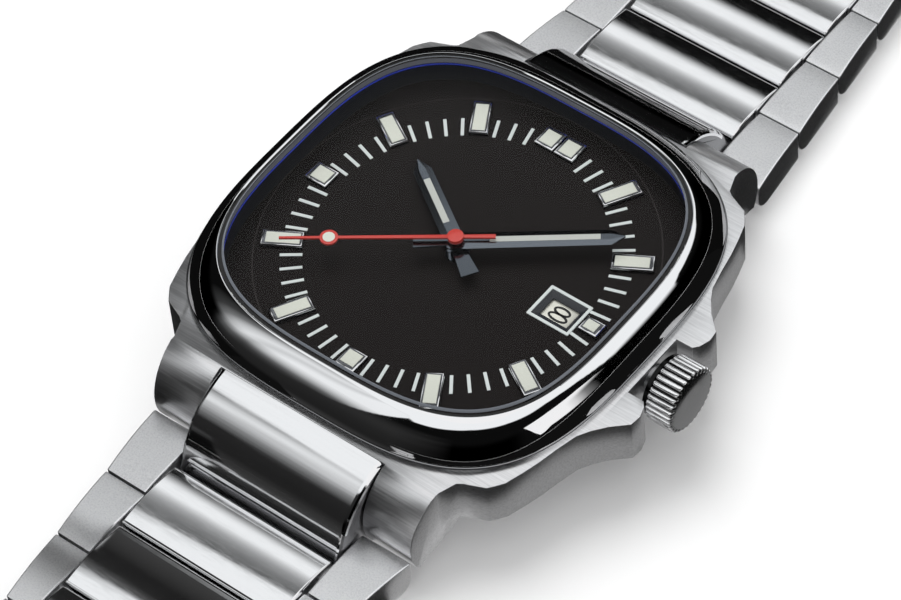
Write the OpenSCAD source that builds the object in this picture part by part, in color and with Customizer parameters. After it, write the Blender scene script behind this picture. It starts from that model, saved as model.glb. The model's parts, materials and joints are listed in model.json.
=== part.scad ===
// Self-winding wristwatch with a cushion-shaped steel case and a three-row steel bracelet.
// It lies dial up on a flat surface: Z = 0 is that surface and the flat face of the case back,
// the origin is the centre of that face, +Y points to twelve o'clock and +X to the crown.
// The bracelet lies open and straight, with its folding clasp shut at the six o'clock end.

/* [Case] */
// Half width of the case middle at nine o'clock
case_half_w = 19.1; // [18.9:0.1:19.6]
// Height of the brushed top face above the resting surface
case_top = 8.4; // [8.3:0.05:8.6]
// Height of the lower edge of the side walls
side_low = 4.1; // [3.6:0.1:4.6]
// Height of the underside round the case back
case_bottom = 2.6; // [2.4:0.1:2.8]
// Radius of the stepped underside
step_r = 17.6; // [17.2:0.1:18]
// Radius of the bore that takes the movement ring and the case back
bore_r = 15.2; // [15.1:0.1:15.4]
// Y of the wall between the lugs, just outside the bezel
end_wall_y = 19.6; // [19.4:0.1:19.65]
// Distance that the crown guards stand out from the case side
guard_out = 2.4; // [1.9:0.1:2.9]
// Half width of the slot between the crown guards
guard_gap = 3.2; // [3.1:0.05:3.4]

/* [Lugs] */
// Half width of the opening between the lugs
lug_inner_x = 8.25; // [8.2:0.05:8.4]
// Half width over the lugs at their roots
lug_outer_x = 13.3; // [13:0.1:13.6]
// Radius of the curve that the lug tops follow
lug_r = 4.73; // [4.7:0.01:4.8]
// Y of the centre of that curve
lug_cy = 18.18; // [18.1:0.01:18.2]
// Height of the centre of that curve
lug_cz = 3.96; // [3.8:0.02:4.1]

/* [Bezel and crystal] */
// Half width of the bezel at its foot, along X
bezel_a = 18.9; // [18.7:0.05:19]
// Half width of the bezel at its foot, along Y
bezel_b = 19.3; // [19.1:0.05:19.4]
// Half width of the crystal opening, along X
rim_a = 16.7; // [16.6:0.05:16.8]
// Half width of the crystal opening, along Y
rim_b = 16.3; // [16.2:0.05:16.4]
// Height of the bezel's upper edge
bezel_top = 11.75; // [11.7:0.05:12]
// Roundness of the cushion outline, where 2 is an ellipse
cushion_n = 3.2; // [2.8:0.1:3.6]
// Height of the crystal's lower face
crystal_z = 10.95; // [10.95:0.01:11.05]
// Thickness of the crystal
crystal_t = 1.0; // [0.9:0.05:1.2]

/* [Dial] */
// Height of the dial's upper face
dial_top = 8.7; // [8.65:0.01:8.75]
// Thickness of the dial
dial_t = 0.4; // [0.3:0.05:0.45]
// Half width of the dial that shows inside the flange, along X
open_a = 16.4; // [16.2:0.05:16.5]
// Half width of the dial that shows inside the flange, along Y
open_b = 16.4; // [16.2:0.05:16.5]
// Outer radius of the minute track
track_r = 14.5; // [14.2:0.1:14.7]
// Length of a minute stroke
tick_len = 1.83; // [1.5:0.05:2]
// Width of a minute stroke
tick_w = 0.3; // [0.2:0.02:0.36]
// Length of the long hour markers
marker_len = 3.2; // [3:0.1:3.4]
// Width of the long hour markers
marker_w = 1.45; // [1.3:0.05:1.6]
// Height of the hour markers
marker_h = 0.4; // [0.3:0.05:0.5]
// Distance from the centre to the middle of a long hour marker
marker_r = 14.07; // [13.9:0.05:14.2]
// X of the middle of the date window
date_x = 10.27; // [10.2:0.02:10.34]

/* [Hands] */
// Length of the hour hand
hour_len = 9.6; // [9:0.1:10]
// Length of the minute hand
minute_len = 13.5; // [13:0.1:14]
// Length of the seconds hand
seconds_len = 14.1; // [13.6:0.1:14.4]
// Direction of the hour hand, clockwise from twelve
hour_dir = 303.0; // [0:1:360]
// Direction of the minute hand, clockwise from twelve
minute_dir = 53.2; // [0:1:360]
// Direction of the seconds hand, clockwise from twelve
seconds_dir = 234.5; // [0:1:360]

/* [Crown] */
// Height of the crown's axis
crown_z = 6.7; // [6.65:0.01:6.75]
// Radius of the crown over its flutes
crown_r = 2.9; // [2.7:0.05:3]
// Gap between the crown's inner face and the case side or the bezel
crown_gap = 0.9; // [0.85:0.05:1.2]
// Length of the crown
crown_len = 3.1; // [2.9:0.1:3.4]
// Number of flutes
flutes = 30; // [24:1:34]
// Radius of the winding stem
stem_r = 0.45; // [0.4:0.01:0.48]

/* [Bracelet] */
// Distance between two hinges
pitch = 6.9; // [6.6:0.1:7.2]
// Y of the first hinge on each side
hinge_y = 24.6; // [24.6:0.05:24.8]
// Height of the hinge pins, and radius of the rounded link ends
pin_z = 1.6; // [1.5:0.05:1.6]
// Thickness of the outer links
link_h = 3.3; // [3.2:0.05:3.4]
// Thickness of the polished middle links at their crown
mid_h = 3.5; // [3.4:0.05:3.6]
// Half width of the middle link next to the case
mid_half = 7.95; // [7.8:0.05:8]
// Half width of the bracelet next to the case
outer_half = 13.0; // [12.8:0.05:13.2]
// Narrowing of the bracelet's half width from row to row
taper = 0.8; // [0.6:0.05:0.85]
// Narrowing of the middle links' half width from row to row
mid_taper = 0.15; // [0.1:0.01:0.2]
// Radius of the bracelet pins
pin_r = 0.5; // [0.4:0.05:0.6]
// Gap between links that lie end to end
link_gap = 0.12; // [0.1:0.01:0.2]

/* [Clasp] */
// Length of the clasp cover from its hinge
cover_len = 36; // [34:0.5:38]
// Thickness of the cover plate
cover_t = 1.0; // [0.8:0.05:1.1]
// Thickness of the folding blades
blade_t = 0.7; // [0.6:0.05:0.7]

/* [Movement] */
// Radius of the movement
move_r = 13.0; // [12.8:0.05:13.05]
// Height of the underside of the main plate
plate_low = 5.9; // [5.85:0.01:5.95]
// Height of the dial side of the main plate
plate_top = 7.95; // [7.93:0.01:7.97]
// Distance from the centre to the third wheel
third_dist = 4.0; // [3.9:0.05:4.1]
// Distance from the centre to the escape wheel
escape_dist = 3.744; // [3.65:0.02:3.8]
// Distance from the centre to the barrel
barrel_dist = 5.46; // [5.4:0.02:5.5]
// Distance from the centre to the minute wheel of the hand-setting works
minute_dist = 3.6; // [3.5:0.05:3.7]
// Radius of the balance wheel
balance_r = 3.1; // [2.8:0.05:3.2]
// Distance of the winding rotor's rim from the edge of the movement
rotor_gap = 0.5; // [0.2:0.1:1]

/* [Hidden] */
$fn = 64;
cushion_points = 120;
fit = 0.05;
overrun = 1;

// Heights and places that follow from the driving sizes
dial_low = dial_top - dial_t;
flange_top = crystal_z - fit;
guard_x = case_half_w + guard_out;
crown_x = max(case_half_w, bezel_a) + crown_gap;
rotor_r = move_r - rotor_gap;
hand_t = 0.18;
hand_gap = 0.3;
hour_z = dial_top + 0.95;
minute_z = hour_z + hand_t + hand_gap;
seconds_z = minute_z + hand_t + hand_gap;

// Points of a cushion outline: a superellipse with half widths a and b
function cushion(a, b) = [for (i = [0:cushion_points - 1])
  let (t = 360 * i / cushion_points, c = cos(t), s = sin(t))
  [a * sign(c) * pow(abs(c), 2 / cushion_n), b * sign(s) * pow(abs(s), 2 / cushion_n)]];

// A closed solid through a list of rings [half width x, half width y, height]
module cushion_loft(rings) {
  count = len(rings);
  points = [for (r = rings) for (p = cushion(r[0], r[1])) [p[0], p[1], r[2]]];
  faces = [for (k = [0:count - 1]) for (i = [0:cushion_points - 1])
    let (j = (i + 1) % cushion_points, m = (k + 1) % count)
    each [[k * cushion_points + i, m * cushion_points + i, m * cushion_points + j],
      [k * cushion_points + i, m * cushion_points + j, k * cushion_points + j]]];
  polyhedron(points, faces);
}

// A flat cushion ring
module cushion_ring(a_out, b_out, a_in, b_in, z0, z1) {
  translate([0, 0, z0]) linear_extrude(z1 - z0) difference() {
    polygon(cushion(a_out, b_out));
    polygon(cushion(a_in, b_in));
  }
}

// A cylinder along X
module rod_x(r, x0, x1, y = 0, z = 0) {
  translate([x0, y, z]) rotate([0, 90, 0]) cylinder(h = x1 - x0, r = r);
}

// A side outline, drawn as [y, z], extruded along X from x0 to x1
module side_profile(x0, x1) {
  translate([x0, 0, 0]) rotate([90, 0, 90]) linear_extrude(x1 - x0) children();
}

// A flat bar with round ends between two points
module bar(p, q, w) {
  d = q - p;
  translate(p) circle(w / 2);
  translate(q) circle(w / 2);
  translate(p) rotate(atan2(d[1], d[0])) translate([0, -w / 2]) square([norm(d), w]);
}

// A tube along Z
module tube(r_out, r_in, z0, z1) {
  translate([0, 0, z0]) difference() {
    cylinder(h = z1 - z0, r = r_out);
    translate([0, 0, -overrun]) cylinder(h = z1 - z0 + 2 * overrun, r = r_in);
  }
}

// Case outline: the points of its right half, from the twelve o'clock side to the crown
half_outline = [[lug_outer_x, end_wall_y], [lug_outer_x, 19.4], [lug_outer_x + 0.55, 17.9],
  [lug_outer_x + 1.0, 17.6], [lug_outer_x + 2.7, 16.9], [lug_outer_x + 3.1, 16.4],
  [case_half_w - 2.2, 15.7], [case_half_w - 1.7, 14.1], [case_half_w - 1.3, 12.6],
  [case_half_w - 0.95, 10.85], [case_half_w - 0.5, 9.0]];
guard_outline = [[case_half_w + 0.1, 7.95], [case_half_w + 1.0, 6.8], [guard_x - 0.1, 5.6],
  [guard_x, 4.6], [guard_x - 0.3, guard_gap + 0.45], [guard_x - 0.7, guard_gap],
  [case_half_w + 0.2, guard_gap]];
plain_outline = [[case_half_w - 0.1, 5], [case_half_w, 0]];

function upside(points) = [for (i = [len(points) - 1:-1:0]) [points[i][0], -points[i][1]]];
function leftside(points) = [for (i = [len(points) - 1:-1:0]) [-points[i][0], points[i][1]]];

module case_outline() {
  right = concat(half_outline, guard_outline, upside(guard_outline), upside(half_outline));
  left = concat(half_outline, plain_outline, upside([plain_outline[0]]), upside(half_outline));
  polygon(concat(right, leftside(left)));
}

// Lug: the curve of its top, cut by the slope of its underside
lug_root_y = end_wall_y - 3.1;
lug_foot_y = end_wall_y + 3.0;
lug_reach_y = end_wall_y + 4.4;
lug_root_z = side_low - 0.9;
lug_foot_z = 1.5;

module lug_side() {
  intersection() {
    translate([lug_cy, lug_cz]) circle(lug_r);
    polygon([[lug_root_y, lug_root_z], [lug_foot_y, lug_foot_z], [lug_reach_y, lug_foot_z],
      [lug_reach_y, case_top], [lug_root_y, case_top]]);
  }
}

module lug_pair() {
  for (m = [0, 1]) mirror([m, 0, 0]) intersection() {
    side_profile(lug_inner_x, lug_outer_x) lug_side();
    linear_extrude(case_top) polygon([[lug_inner_x, lug_root_y], [lug_outer_x, lug_root_y],
      [lug_outer_x, end_wall_y], [outer_half - 0.1, lug_reach_y], [lug_inner_x, lug_reach_y]]);
  }
}

bar_y = 21.4;
bar_z = 4.6;
bar_r = 0.7;
bar_tip_r = 0.4;
bar_tip = 1.2;
tube_r = 1.25;
tube_bore = 0.8;

module case_middle() {
  color("silver") difference() {
    union() {
      translate([0, 0, side_low]) linear_extrude(case_top - side_low) case_outline();
      translate([0, 0, case_bottom]) cylinder(h = side_low - case_bottom + 0.5, r = step_r);
      lug_pair();
      mirror([0, 1, 0]) lug_pair();
    }
    translate([0, 0, case_bottom - overrun]) cylinder(h = case_top + overrun, r = bore_r);
    translate([0, 0, dial_low - 0.02]) linear_extrude(2)
      polygon(cushion(dial_a + 0.1, dial_b + 0.1));
    rod_x(tube_r + 0.01, 0, guard_x + overrun, 0, crown_z);
    for (m = [0, 1]) mirror([0, m, 0])
      rod_x(bar_tip_r + fit, -lug_inner_x - bar_tip, lug_inner_x + bar_tip, bar_y, bar_z);
  }
}

// Bezel: a convex slope from its foot up to the crystal's edge, over a straight seat inside
seat_a = 17.25;
seat_b = 17.4;
bezel_foot = case_top + 0.55;
bezel_steps = 7;
lip_z = bezel_top - 0.25;
function bezel_share(t) = 0.5 * (1 - t) + 0.5 * cos(90 * t);
function bezel_rise(t) = 0.5 * t + 0.5 * sin(90 * t);

module bezel() {
  slope = [for (k = [0:bezel_steps]) let (t = k / bezel_steps)
    [rim_a + 0.3 + (bezel_a - rim_a - 0.3) * bezel_share(t),
     rim_b + 0.35 + (bezel_b - rim_b - 0.35) * bezel_share(t),
     bezel_foot + (bezel_top - bezel_foot) * bezel_rise(t)]];
  inside = [[rim_a, rim_b, bezel_top - 0.05], [rim_a, rim_b, lip_z],
    [rim_a + 0.35, rim_b + 0.35, lip_z], [rim_a + 0.35, rim_b + 0.35, crystal_z],
    [seat_a, seat_b, crystal_z], [seat_a, seat_b, case_top]];
  color("gainsboro") cushion_loft(concat([[bezel_a - 0.25, bezel_b - 0.25, case_top]],
    slope, inside));
}

module crystal() {
  color([0.8, 0.88, 0.92, 0.35]) translate([0, 0, crystal_z]) linear_extrude(crystal_t)
    polygon(cushion(rim_a - 0.05, rim_b - 0.05));
}

module crystal_gasket() {
  color("black") cushion_ring(rim_a + 0.33, rim_b + 0.33, rim_a - 0.03, rim_b - 0.03,
    crystal_z, lip_z - 0.02);
}

back_r = 16.8;
back_plate = 1.5;
skirt_r = bore_r - fit;
skirt_in = 14.2;
skirt_top = 4.6;
back_notches = 6;

module case_back() {
  color("silver") difference() {
    rotate_extrude() polygon([[0, 0], [back_r - 1.6, 0], [back_r - 0.8, 0.5], [back_r, 1.1],
      [back_r, case_bottom - 0.02], [skirt_r, case_bottom - 0.02], [skirt_r, skirt_top],
      [skirt_in, skirt_top], [skirt_in, back_plate + 0.3], [skirt_in - 0.4, back_plate],
      [0, back_plate]]);
    for (i = [0:back_notches - 1]) rotate(60 * i) translate([back_r, 0, -overrun])
      linear_extrude(overrun + 0.9) square([3.2, 3], center = true);
    tube(skirt_r + overrun, skirt_r - 0.5, 3.3, 3.9);
  }
}

module case_back_gasket() {
  color("black") tube(bore_r - 0.02, skirt_r - 0.48, 3.32, 3.88);
}

module crown_tube() {
  color("silver") difference() {
    rod_x(tube_r, bore_r + 0.3, crown_x + 0.9, 0, crown_z);
    rod_x(tube_bore, bore_r, crown_x + 2, 0, crown_z);
  }
}

module movement_ring() {
  color("dimgray") difference() {
    tube(bore_r - fit, move_r + fit, skirt_top + fit, dial_low - 0.02);
    rod_x(stem_r + 0.6, move_r - overrun, bore_r + overrun, 0, crown_z);
  }
}

// Dial: a cushion plate with the centre hole, the date window and two feet
dial_a = seat_a - 0.25;
dial_b = seat_b - 0.2;
centre_hole = 1.0;
window_w = 2.58;
window_h = 1.78;
frame_w = 4.1;
frame_h = 3.44;
frame_line = 0.27;
foot_r = 0.4;
foot_dist = 12.45;
foot_angles = [60, 240];

module centred_box(cx, w, h, z0, z1) {
  translate([cx, 0, (z0 + z1) / 2]) cube([w, h, z1 - z0], center = true);
}

module dial() {
  color([0.09, 0.07, 0.06]) difference() {
    union() {
      translate([0, 0, dial_low]) linear_extrude(dial_t) polygon(cushion(dial_a, dial_b));
      for (a = foot_angles) rotate(a) translate([foot_dist, 0, plate_top - 0.9])
        cylinder(h = dial_low - plate_top + 1, r = foot_r);
    }
    translate([0, 0, dial_low - overrun]) cylinder(h = 3, r = centre_hole);
    centred_box(date_x, frame_w - 2 * frame_line, frame_h - 2 * frame_line,
      dial_low - overrun, dial_top + overrun);
  }
}

module date_frame() {
  inner_w = frame_w - 2 * frame_line;
  inner_h = frame_h - 2 * frame_line;
  color("white") difference() {
    centred_box(date_x, frame_w, frame_h, dial_top, dial_top + 0.08);
    centred_box(date_x, inner_w, inner_h, dial_top - overrun, dial_top + overrun);
  }
  color("dimgray") difference() {
    centred_box(date_x, inner_w - 0.02, inner_h - 0.02, dial_low + 0.02, dial_top);
    bevel_cut();
  }
}

// The recess of the date window: it narrows from the frame down to the opening
module bevel_cut() {
  top_w = (frame_w - 2 * frame_line) / 2 - 0.05;
  top_h = (frame_h - 2 * frame_line) / 2 - 0.05;
  low_w = window_w / 2;
  low_h = window_h / 2;
  z = [dial_low, dial_low + 0.1, dial_top + 0.01];
  xs = [low_w, low_w, top_w];
  ys = [low_h, low_h, top_h];
  points = [for (k = [0:2]) each [[date_x - xs[k], -ys[k], z[k]], [date_x + xs[k], -ys[k], z[k]],
    [date_x + xs[k], ys[k], z[k]], [date_x - xs[k], ys[k], z[k]]]];
  sides = [for (k = [0:1]) for (i = [0:3]) let (j = (i + 1) % 4)
    [4 * k + i, 4 * k + 4 + i, 4 * k + 4 + j, 4 * k + j]];
  polyhedron(points, concat([[0, 1, 2, 3], [11, 10, 9, 8]], sides));
}

module flange() {
  color([0.07, 0.06, 0.06]) cushion_loft([[seat_a - 0.1, seat_b - 0.1, dial_top],
    [seat_a - 0.1, seat_b - 0.1, flange_top], [rim_a - 0.35, rim_b - 0.35, flange_top],
    [open_a, open_b, dial_top]]);
}

// Hour markers: [angle clockwise from twelve, distance, sideways offset, length, width]
twelve_off = 1.0;
marker_list = concat(
  [for (h = [1, 2, 4, 5, 7, 8, 10, 11]) [30 * h, marker_r, 0, marker_len, marker_w]],
  [for (s = [-1, 1]) [0, marker_r - 0.43, s * twelve_off, 1.83, 1.72]],
  [[180, marker_r - 0.65, 0, 1.72, 1.72], [270, marker_r - 0.25, 0, 1.88, 1.72],
   [90, marker_r - 0.67, 0, 1.5, 1.3]]);
marker_edge = 0.2;
pocket = 0.25;

module at_marker(m) {
  rotate(-m[0]) translate([m[2], m[1], dial_top]) children();
}

module hour_markers() {
  color("gainsboro") for (m = marker_list) at_marker(m) difference() {
    translate([-m[4] / 2, -m[3] / 2, 0]) cube([m[4], m[3], marker_h]);
    translate([-m[4] / 2 + marker_edge, -m[3] / 2 + marker_edge, marker_h - pocket])
      cube([m[4] - 2 * marker_edge, m[3] - 2 * marker_edge, overrun]);
  }
}

module marker_lume() {
  color("ivory") for (m = marker_list) at_marker(m)
    translate([-m[4] / 2 + marker_edge, -m[3] / 2 + marker_edge, marker_h - pocket])
      cube([m[4] - 2 * marker_edge, m[3] - 2 * marker_edge, pocket + 0.03]);
}

// Minute strokes stand at every minute without an hour marker
tick_t = 0.05;

module minute_track() {
  color("white") for (i = [2:58]) if (i % 5 != 0)
    rotate(-6 * i) translate([-tick_w / 2, track_r - tick_len, dial_top])
      cube([tick_w, tick_len, tick_t]);
}

// Pieces that hold the bracelet to the lugs
module spring_bars() {
  color("silver") for (m = [0, 1]) mirror([0, m, 0]) {
    rod_x(bar_r, -lug_inner_x + fit, lug_inner_x - fit, bar_y, bar_z);
    for (n = [0, 1]) mirror([n, 0, 0])
      rod_x(bar_tip_r, lug_inner_x - fit, lug_inner_x + bar_tip - 0.1, bar_y, bar_z);
  }
}

end_half = lug_inner_x - 0.12;
end_r = 7.28;
end_cy = 18.62;
end_cz = 1.31;

module end_side() {
  difference() {
    union() {
      intersection() {
        translate([end_cy, end_cz]) circle(end_r);
        translate([end_wall_y + 0.1, 0.9]) square([8, 8]);
      }
      translate([hinge_y, pin_z]) circle(pin_z);
    }
    translate([bar_y, bar_z]) circle(bar_r + fit);
    translate([hinge_y, pin_z]) circle(pin_r + fit);
  }
}

module end_links() {
  color("gainsboro") for (m = [0, 1]) mirror([0, m, 0])
    side_profile(-end_half, end_half) end_side();
}

// Side outlines of a link, drawn as [distance from its hinge, height]
mid_gap = 0.2;
mid_sag = 0.45;
outer_sag = 0.25;
mid_chord = (pitch - mid_gap) / 2;
mid_arc = (mid_chord * mid_chord + mid_sag * mid_sag) / (2 * mid_sag);
outer_chord = (pitch - link_gap) / 2;
outer_arc = (outer_chord * outer_chord + outer_sag * outer_sag) / (2 * outer_sag);

module mid_side() {
  start = pin_z + mid_gap;
  end = pitch + pin_z;
  difference() {
    intersection() {
      union() {
        translate([start, 0]) square([pitch - start, mid_h]);
        translate([pitch, pin_z]) circle(pin_z);
        translate([pitch, pin_z]) square([pin_z, mid_h - pin_z]);
      }
      translate([(start + end) / 2, mid_h - mid_arc]) circle(mid_arc, $fn = 180);
    }
    translate([pitch, pin_z]) circle(pin_r + fit);
    translate([pitch / 2, pin_z]) circle(pin_r + 0.02);
  }
}

module outer_side() {
  end = pitch - pin_z - link_gap;
  difference() {
    intersection() {
      union() {
        translate([0, pin_z]) circle(pin_z);
        translate([-pin_z, pin_z]) square([pin_z, link_h - pin_z]);
        square([end, link_h]);
      }
      translate([(end - pin_z) / 2, link_h - outer_arc]) circle(outer_arc, $fn = 180);
    }
    translate([0, pin_z]) circle(pin_r + 0.02);
  }
}

// One row: two brushed outer links, the polished middle link, the pin that joins them
// and the hinge pin towards the case. inner_half is half the width of the middle link before it.
function mid_half_of(k) = k == 0 ? end_half : mid_half - mid_taper * (k - 1);
function outer_half_of(k) = outer_half - taper * (k - 1);

module row(k) {
  inner = mid_half_of(k - 1) + 0.1;
  half = mid_half_of(k);
  front = outer_half_of(k);
  back = outer_half_of(k + 1);
  y0 = hinge_y + pitch * (k - 1);
  translate([0, y0, 0]) {
    for (m = [0, 1]) mirror([m, 0, 0]) color("silver") difference() {
      intersection() {
        side_profile(inner, front) outer_side();
        linear_extrude(link_h) polygon([[inner, -pin_z], [front, -pin_z],
          [back, pitch - pin_z], [inner, pitch - pin_z]]);
      }
      rod_x(pin_r + 0.02, 0, inner + 1.2, pitch / 2, pin_z);
    }
    color("gainsboro") side_profile(-half, half) mid_side();
    color("gray") rod_x(pin_r, -inner - 1.1, inner + 1.1, pitch / 2, pin_z);
    color("gray") rod_x(pin_r, -front + 0.7, front - 0.7, 0, pin_z);
  }
}

module six(k) {
  mirror([0, 1, 0]) row(k);
}

module row_twelve_1() { row(1); }
module row_twelve_2() { row(2); }
module row_twelve_3() { row(3); }
module row_twelve_4() { row(4); }
module row_twelve_5() { row(5); }
module row_twelve_6() { row(6); }
module row_six_1() { six(1); }
module row_six_2() { six(2); }
module row_six_3() { six(3); }
module row_six_4() { six(4); }
module row_six_5() { six(5); }

// Clasp, drawn along +Y from its hinge and mirrored to the six o'clock side
clasp_rows = 5;
clasp_y = hinge_y + pitch * clasp_rows;
cover_half = outer_half_of(clasp_rows + 1);
channel_half = mid_half_of(clasp_rows) + 0.1;
cover_low = 2.85;
far_y = cover_len - 2.0;
far_z = 1.9;
far_r = 0.85;
near_y = 6.0;
near_z = 1.3;
near_r = 0.9;
blade_half = channel_half - 0.2;
knuckle_half = 3.9;
button_y = 20;
button_len = 5;
button_h = 1.3;
button_z = 2.0;
button_out = 0.7;

module at_clasp() {
  mirror([0, 1, 0]) translate([0, clasp_y, 0]) children();
}

module clasp_cover() {
  at_clasp() color("silver") {
    difference() {
      union() {
        for (m = [0, 1]) mirror([m, 0, 0]) side_profile(channel_half, cover_half) union() {
          translate([0, pin_z]) circle(pin_z);
          translate([-pin_z, pin_z]) square([pin_z, link_h - pin_z]);
          translate([0, 0]) square([pitch, link_h]);
          translate([0, 0.3]) square([cover_len, cover_low + cover_t - 0.3]);
        }
        translate([-channel_half, pin_z + mid_gap, cover_low])
          cube([2 * channel_half, cover_len - pin_z - mid_gap, cover_t]);
      }
      translate([-cover_half - overrun, -pin_z - overrun, link_h])
        cube([2 * cover_half + 2 * overrun, pin_z + mid_gap + pin_z + overrun, overrun]);
      rod_x(pin_r + 0.02, -cover_half - overrun, cover_half + overrun, 0, pin_z);
      rod_x(pin_r + 0.02, -channel_half - 1, channel_half + 1, far_y, far_z);
      translate([0, button_y, button_z])
        cube([2 * cover_half + 2, button_len + 0.2, button_h + 0.2], center = true);
    }
    rod_x(pin_r, -cover_half + 0.6, cover_half - 0.6, 0, pin_z);
    rod_x(pin_r, -channel_half - 0.9, channel_half + 0.9, far_y, far_z);
  }
}

// The long blade folds out from the cover's far end
module clasp_blade_long() {
  plate_z = far_z - 0.15;
  at_clasp() color("silver") {
    difference() {
      union() {
        side_profile(-blade_half, blade_half) union() {
          translate([far_y, far_z]) circle(far_r);
          translate([near_y + 1.1, plate_z]) square([far_y - near_y - 1.1, blade_t]);
        }
        for (m = [0, 1]) mirror([m, 0, 0])
          side_profile(knuckle_half + 0.1, blade_half) union() {
            translate([near_y, near_z]) circle(near_r);
            translate([near_y, plate_z - 0.25]) square([1.2, blade_t]);
          }
      }
      rod_x(pin_r + fit, -blade_half - overrun, blade_half + overrun, far_y, far_z);
      rod_x(pin_r + 0.02, -blade_half - overrun, blade_half + overrun, near_y, near_z);
      for (m = [0, 1]) mirror([m, 0, 0]) translate([blade_half - 1.2, button_y - 4, 0])
        cube([2, 8, 4]);
    }
    rod_x(pin_r, -blade_half + 0.2, blade_half - 0.2, near_y, near_z);
  }
}

// The short blade folds out from the long blade and carries the bar for the last row
short_low = 0.3;
end_out = 1.5;
short_len = cover_len + end_out - near_y;
end_knuckle_z = 1.25;

module clasp_blade_short() {
  end_y = near_y + short_len;
  at_clasp() color("silver") {
    difference() {
      union() {
        side_profile(-knuckle_half, knuckle_half) union() {
          translate([near_y, near_z]) circle(near_r);
          translate([near_y, short_low]) square([1.5, blade_t]);
        }
        side_profile(-blade_half, blade_half)
          translate([near_y + 1.2, short_low]) square([short_len - 1.2, blade_t]);
        side_profile(-blade_half, blade_half)
          translate([end_y, end_knuckle_z]) circle(end_knuckle_z - 0.3);
      }
      rod_x(pin_r + fit, -blade_half - overrun, blade_half + overrun, near_y, near_z);
      rod_x(pin_r + 0.02, -blade_half - overrun, blade_half + overrun, end_y, end_knuckle_z);
    }
    rod_x(pin_r, -blade_half - 0.6, blade_half + 0.6, end_y, end_knuckle_z);
  }
}

module clasp_button(side) {
  inner = channel_half - 0.2;
  at_clasp() color("gainsboro") mirror([side, 0, 0])
    translate([inner, button_y - button_len / 2, button_z - button_h / 2])
      cube([cover_half + button_out - inner, button_len, button_h]);
}

module clasp_button_left() { clasp_button(1); }
module clasp_button_right() { clasp_button(0); }

// Hands. Each is drawn pointing to twelve and turned clockwise to its direction.
pipe_gap = 0.06;
arbor_r = 0.15;
cannon_out = 0.5;
hour_pipe_in = cannon_out + pipe_gap;
hour_pipe_out = 0.85;
hub_r = 1.0;
tail_root = 0.45;
hand_tip = 1.2;
hour_tail = 3.35;
minute_tail = 3.4;
strip_half = 0.27;
strip_deep = 0.08;
strip_t = 0.1;
hour_strip = [2.4, 7.3];
minute_strip = [2.7, 11.5];

module at_hand(dir, z) {
  rotate([0, 0, -dir]) translate([0, 0, z]) children();
}

// A hand with a pointed tip, shoulders just before it and a square tail
module blade_shape(length, tip, shoulder, waist, tail, tail_w) {
  union() {
    polygon([[-waist, 0], [-shoulder, length - tip], [0, length], [shoulder, length - tip],
      [waist, 0]]);
    polygon([[-tail_root, 0], [tail_root, 0], [tail_w, -tail], [-tail_w, -tail]]);
    circle(hub_r);
  }
}

// The pocket for a hand's lume strip, or the strip itself when it is only strip_t high
module strip(from, to, height) {
  translate([-strip_half, from, 0]) cube([2 * strip_half, to - from, height]);
}

module hour_hand() {
  at_hand(hour_dir, 0) color("slategray") difference() {
    union() {
      translate([0, 0, hour_z]) linear_extrude(hand_t)
        blade_shape(hour_len, hand_tip, 0.78, 0.8, hour_tail, 0.78);
      tube(hub_r - 0.05, hour_pipe_out - 0.1, hour_z - 0.2, hour_z + hand_t);
    }
    translate([0, 0, hour_z - overrun]) cylinder(h = 3, r = hour_pipe_out);
    translate([0, 0, hour_z + hand_t - strip_deep]) strip(hour_strip[0], hour_strip[1], overrun);
  }
}

module hour_hand_lume() {
  at_hand(hour_dir, hour_z + hand_t - strip_deep) color("ivory")
    strip(hour_strip[0], hour_strip[1], strip_t);
}

module minute_hand() {
  at_hand(minute_dir, 0) color("slategray") difference() {
    union() {
      translate([0, 0, minute_z]) linear_extrude(hand_t)
        blade_shape(minute_len, hand_tip, 0.78, 0.84, minute_tail, 0.66);
      tube(hub_r - 0.05, 0.3, minute_z, minute_z + hand_t);
    }
    translate([0, 0, minute_z - overrun]) cylinder(h = 3, r = cannon_out);
    translate([0, 0, minute_z + hand_t - strip_deep])
      strip(minute_strip[0], minute_strip[1], overrun);
  }
}

module minute_hand_lume() {
  at_hand(minute_dir, minute_z + hand_t - strip_deep) color("ivory")
    strip(minute_strip[0], minute_strip[1], strip_t);
}

seconds_tail = 3.2;
dot_y = 10.1;
dot_r = 0.75;
dot_in = 0.5;

module seconds_hand() {
  at_hand(seconds_dir, 0) color("crimson") difference() {
    union() {
      translate([0, 0, seconds_z]) linear_extrude(hand_t) {
        polygon([[-0.17, 0], [-0.1, seconds_len], [0.1, seconds_len], [0.17, 0]]);
        polygon([[-0.15, 0], [0.15, 0], [0.19, -seconds_tail], [-0.19, -seconds_tail]]);
        translate([0, dot_y]) circle(dot_r);
      }
      translate([0, 0, seconds_z - 0.1]) cylinder(h = hand_t + 0.2, r = 0.66);
    }
    translate([0, 0, seconds_z - overrun]) cylinder(h = overrun + hand_t, r = arbor_r);
    translate([0, dot_y, seconds_z + hand_t - 0.08]) cylinder(h = 1, r = dot_in);
  }
}

module seconds_hand_lume() {
  at_hand(seconds_dir, seconds_z + hand_t - 0.08) color("ivory")
    translate([0, dot_y, 0]) cylinder(h = 0.1, r = dot_in);
}

// Crown, stem and the sliding pinion on the stem's square
flute_r = 0.2;
shoulder = 0.75;
square_w = 0.56;
pinion_x0 = 8.6;
pinion_x1 = 10.0;

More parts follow.
